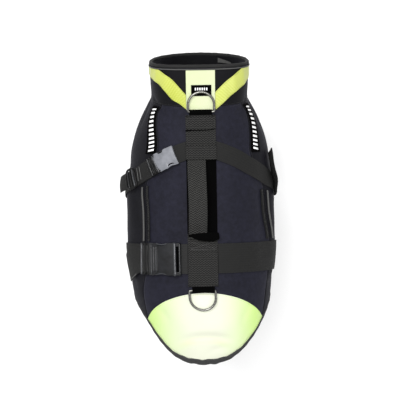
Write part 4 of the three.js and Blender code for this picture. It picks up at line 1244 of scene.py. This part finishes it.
BELLY_OUT = BELLY_HALF + 3
plate("belly_buckle_shell", belly, past(BELLY["bar"], 11), BELLY["split"],
      notched(BELLY_OUT - 0.8, 0.5, 5.0, 0.2), notched(BELLY_OUT - 0.8, 0.52, 4.6, 0.2), 6.8,
      dark_plastic, ["belly_buckle_socket"], 1.2)
plate("belly_buckle_tongue", belly, past(BELLY["split"], 0.5), BELLY["plug_end"],
      even(BELLY_OUT - 1.2), even(BELLY_OUT - 1.2), 4.4,
      matte_plastic, ["belly_buckle_plug"], 0.9)
cross_bar("belly_shell_rim", belly, past(BELLY["bar"], 1.8), BELLY_OUT - 0.8, TOP + 4, 2.0, dark_plastic,
          1.4)
# The shell's lighter edge bar is a painted highlight.
cross_bar("belly_shell_edge", belly, past(BELLY["bar"], 10.0), BELLY_OUT - 0.4, TOP + 6.0, 2.4,
          highlight_plastic, 1.0)
for side, offset in (("front", 4 - BELLY_OUT), ("rear", BELLY_OUT - 4)):
    aside = lambda t: beside(belly, t, offset)
    place = strap_place(aside, past(BELLY["bar"], 1), past(BELLY["bar"], 12), 3.0, TOP, 6.0)
    layer_on(f"belly_shell_end_{side}", place, 10, 4, 6.0, dark_plastic, (), 1.2)
# The strap where it loops through the shell's slot is black cloth: painted shade.
place = strap_place(belly, past(BELLY["bar"], 2), past(BELLY["bar"], 9), BELLY_HALF - 2, TOP, 1.6)
layer_on("belly_strap_loop", place, 10, 8, 1.6, label_cloth, (), 0.4)
# The ribs go lighter and near-black in turn: painted highlights and painted shade.
for i in range(7):
    short = 7 if i > 1 else 2.4
    cross_bar(f"belly_shell_rib_{i}", belly, past(BELLY["split"], -2.4 - i * 2.5), BELLY_OUT - short,
              TOP + 7.5, 0.75, highlight_plastic if i % 2 else shade_plastic, 0.7)
# The last tongue bar is lighter: a painted highlight.
for i, (at, look) in enumerate(((3.0, matte_plastic), (12.0, matte_plastic), (21.5, highlight_plastic))):
    cross_bar(f"belly_tongue_bar_{i}", belly, past(BELLY["split"], at), BELLY_OUT - 1.6, TOP + 4.8, 1.7,
              look)
# The tongue's slots are near-black bars: painted shade.
for i, at in enumerate((7.4, 16.8)):
    cross_bar(f"belly_tongue_slot_{i}", belly, past(BELLY["split"], at), BELLY_OUT - 5, TOP + 4.7, 2.0,
              shade_plastic, 0.3)
# Both belly prongs are lighter: painted glints.
prong("belly_prong_rear", belly, (-27.0, -32.5, -38.0), (25.6, 23.9, 25.8), highlight_plastic)
prong("belly_prong_front", belly, (-27.0, -32.0, -37.0), (-25.8, -23.9, -25.6), highlight_plastic)

SLIDER = {"near": UPPER["slider"] + 4.2, "far": UPPER["slider"] - 4.2, "half": HALF + 2.0}


def slider_route(t):
    """A rectangle with round corners, in degrees along the strap and millimetres across it."""
    turn = t * 2 * pi
    middle, reach = (SLIDER["near"] + SLIDER["far"]) / 2, (SLIDER["near"] - SLIDER["far"]) / 2
    size = (np.abs(np.cos(turn)) ** 4 + np.abs(np.sin(turn)) ** 4) ** -0.25
    along, across = np.cos(turn) * size, np.sin(turn) * size
    at = middle + reach * along
    return on_strap(upper, at, SLIDER["half"] * across, tail_lift(at) + WEBBING + 1.9)


roll("slider_frame", slider_route, 96, 12, 1.9, True, matte_plastic, ["upper_slider"],
     0.85)
# The slider's first bar is lighter, a painted highlight, and its last bar is darker.
for i, (at, look) in enumerate(((-60.2, highlight_plastic), (-62.5, matte_plastic), (-64.9, dark_plastic))):
    cross_bar(f"slider_bar_{i}", upper, at, SLIDER["half"] - 1, float(tail_lift(at)) + WEBBING + 2.0, 1.5,
              look)

# Grey lines along the folded webbing's edges: painted highlights.
for i, at in enumerate((-52.2, -55.4)):
    roll(f"upper_fold_glint_{i}", lambda u, at=at: on_strap(
        upper, at - 1.6 * u, mix(-13, 9,
            u), tail_lift(at - 1.6 * u) + WEBBING + THREAD_OUT), 16, 8, 0.42, False,
        gray_thread_and_glint)
roll("belly_fold_glint", lambda u: on_strap(
    slanted, mix(-66, -77,
                 u), BELLY_HALF - 2.2 + 0 * u, BUCKLE_LIFT + WEBBING + THREAD_OUT), 16, 8, 0.5, False,
    gray_thread_and_glint)

# A black roll at the handle's rear end: painted shade where the handle dives under the rear webbing.
END_SHADE = [(-22, -141.6, 3.0), (-14, -142.6, 4.4), (-5, -143.8, 6.8), (9, -144.6, 8.2), (18, -144.6, 8.0),
        (26, -143.4, 5.5)]
FOLD_FLAT = 0.58


def end_shade_route(t):
    x = mix(END_SHADE[0][0], END_SHADE[-1][0], t)
    station = curve_through(END_SHADE, x)
    return station, angle_at(x, station), CLOTH + SECOND_LAYER + 3.6 + 1.6 * (1 - t)


def end_shade_radius(u, v):
    size = curve_through(END_SHADE, mix(END_SHADE[0][0], END_SHADE[-1][0], np.clip(u, 0, 1)), 2)
    return size + 0.35 * np.sin(u * 40) * np.cos(v * 2 * pi)


roll("handle_end_shade", end_shade_route, 60, 16, end_shade_radius, False, label_cloth, (), FOLD_FLAT)


# Black rolls along the webbing's cut ends: painted shadow at the edges of the upper layers.
def shadow_line(name, station, left, right, out, slant, radius):
    def route(t):
        x = mix(left, right, t)
        at = station + slant * (t - 0.5) * 2 + 0.5 * np.sin(t * 7)
        return at, angle_at(x, at), CLOTH + out + 0 * t
    return roll(name, route, 40, 10, radius, False, label_cloth)


shadow_line("keeper_end_shadow_front", FRONT_KEEPER_END - 0.6, -SPINE_HALF, SPINE_HALF - 1, SECOND_LAYER + 0.6, 1.4,
         1.1)
shadow_line("band_end_shadow_rear", BAND_REAR - 0.6, -SPINE_HALF, SPINE_HALF, SECOND_LAYER + 0.4, 0.2, 1.5)


# Stitching.
def level_row(station, left, right, out):
    return lambda t: (station + 0 * t, angle_at(mix(left, right, t), station), CLOTH + out + 0 * t)


def spine_row(x, start, end, out):
    return lambda t: (mix(start, end, t), angle_at(x + 0 * t, mix(start, end, t)), CLOTH + out + 0 * t)


def box_row(left, right):
    """A slanting row of the box of stitches behind the handle."""
    def row(t):
        station = mix(-153, -165, t)
        return station, angle_at(mix(left, right, t), station), CLOTH + WEB_TOP + 0 * t
    return row


def seam_row(sign, across):
    def row(t):
        station = mix(70, -280, t)
        angle = seam_angle(station, sign)
        return station, sign * (angle + across), skin(station, angle) - 0.45
    return row


WEB_TOP, KEEPER_TOP = LIFT + WEBBING + THREAD_OUT, SECOND_LAYER + WEBBING + THREAD_OUT
thread_row("spine_stitches", [
    spine_row(x, start, end, out) for x in (-22.4, 22.4)
    for start, end, out in ((32, 9, WEB_TOP), (-150, -168, WEB_TOP),
                            (FRONT_BAR - 9, 36, KEEPER_TOP), (REAR_BAR + 9, -172, KEEPER_TOP))
] + [
    level_row(36.2, -22, 22, KEEPER_TOP), level_row(-171.6, -22, 22, KEEPER_TOP),
    level_row(5.2, -23, 23, SECOND_LAYER + 3.15), level_row(-13.6, -23, 23, SECOND_LAYER + 3.15),
], black_thread, "binding")
thread_row("box_stitches", [
    level_row(-167.2, -21, 21, WEB_TOP), level_row(-165.4, -20, 8, WEB_TOP),
    box_row(-20, 21), box_row(21, -20),
], gray_thread_and_glint, "piping", 2.3, 1.7, 0.5)
thread_row("side_seam_stitches", [seam_row(sign, across) for sign in (-1, 1) for across in (-1.2, 1.2)],
           black_thread, "binding", 3.0, 2.2)
thread_row("band_stitches", band_rows, band_thread, "neon_cloth", 2.8, 2.0, 0.6)
thread_row("collar_seam_stitches", [lambda t: (COLLAR_SEAM + 2.2 + 0 * t, t * 360, CLOTH - 0.1 + 0 * t),
                                    lambda t: (COLLAR_SEAM - 2.2 + 0 * t, t * 360, CLOTH - 0.5 + 0 * t)],
           black_thread, "binding", 3.0, 2.2)
thread_row("tail_stitches", [lambda t: (
    tail_edge(mix(-58, 58, t)) - 2.2, mix(-58, 58,
        t), CLOTH - 0.2 + 0 * t)], neon_thread, "neon_cloth", 2.8, 2.0)
thread_row("hem_stitches", [lambda t: (
    hem_station(t * 360) + hem_inset(t * 360, 2 * BINDING + 2.6), t * 360, CLOTH + 0 * t)],
    black_thread, "binding", 3.2, 2.3)


# Studio: pale floor, soft light and the camera of the photograph. Lengths are in metres.
FLOOR_REACH, FLOOR_Z = 6, -0.5
SKY_STRENGTH = 0.62
LAMPS_FACE = Vector((0, -0.08, -0.05))
LENS_MM = 102.4
CAMERA_TARGET = Vector((-0.0032, -0.0835, 0))
CAMERA_BACK = Vector((-0.038, 0, 1.9))
CAMERA_ROLL = radians(-1.03)


def studio():
    bm = bmesh.new()
    bmesh.ops.create_grid(bm, x_segments=1, y_segments=1, size=FLOOR_REACH)
    mesh = bpy.data.meshes.new("floor")
    bm.to_mesh(mesh)
    bm.free()
    floor = bpy.data.objects.new("floor", mesh)
    floor.location = (0, 0, FLOOR_Z)
    f = Finish("floor_paper", gray(0.92), 0.9)
    mesh.materials.append(f.material)
    bpy.context.scene.collection.objects.link(floor)
    world = bpy.data.worlds.new("studio")
    bpy.context.scene.world = world
    world.use_nodes = True
    world.node_tree.nodes["Background"].inputs[0].default_value = (1, 1, 1, 1)
    world.node_tree.nodes["Background"].inputs[1].default_value = SKY_STRENGTH
    bpy.context.scene.view_settings.view_transform = "Standard"
    for name, place, size, power in (
        ("key", (-0.6, 0.6, 1.8), 0.8, 32), ("top", (0.05, -0.1, 2.4), 0.9, 40), ("rim", (1.4, -0.9, 1.2),
            1.0, 6),
    ):
        lamp = bpy.data.lights.new(name, "AREA")
        lamp.size = size
        lamp.energy = power
        light = bpy.data.objects.new(name, lamp)
        light.location = place
        light.rotation_euler = (LAMPS_FACE - Vector(place)).to_track_quat("-Z", "Y").to_euler()
        bpy.context.scene.collection.objects.link(light)


def photo_camera():
    lens = bpy.data.cameras.new("camera")
    lens.sensor_width = 36
    lens.lens = LENS_MM
    lens.clip_start = 0.01
    eye = bpy.data.objects.new("camera", lens)
    eye.location = CAMERA_TARGET + CAMERA_BACK
    back = (eye.location - CAMERA_TARGET).normalized()
    right = Vector((0, 1, 0)).cross(back).normalized()
    turn = Matrix((right, back.cross(right), back)).transposed() @ Matrix.Rotation(CAMERA_ROLL, 3, "Z")
    eye.rotation_euler = turn.to_euler()
    bpy.context.scene.collection.objects.link(eye)
    bpy.context.scene.camera = eye


studio()
photo_camera()
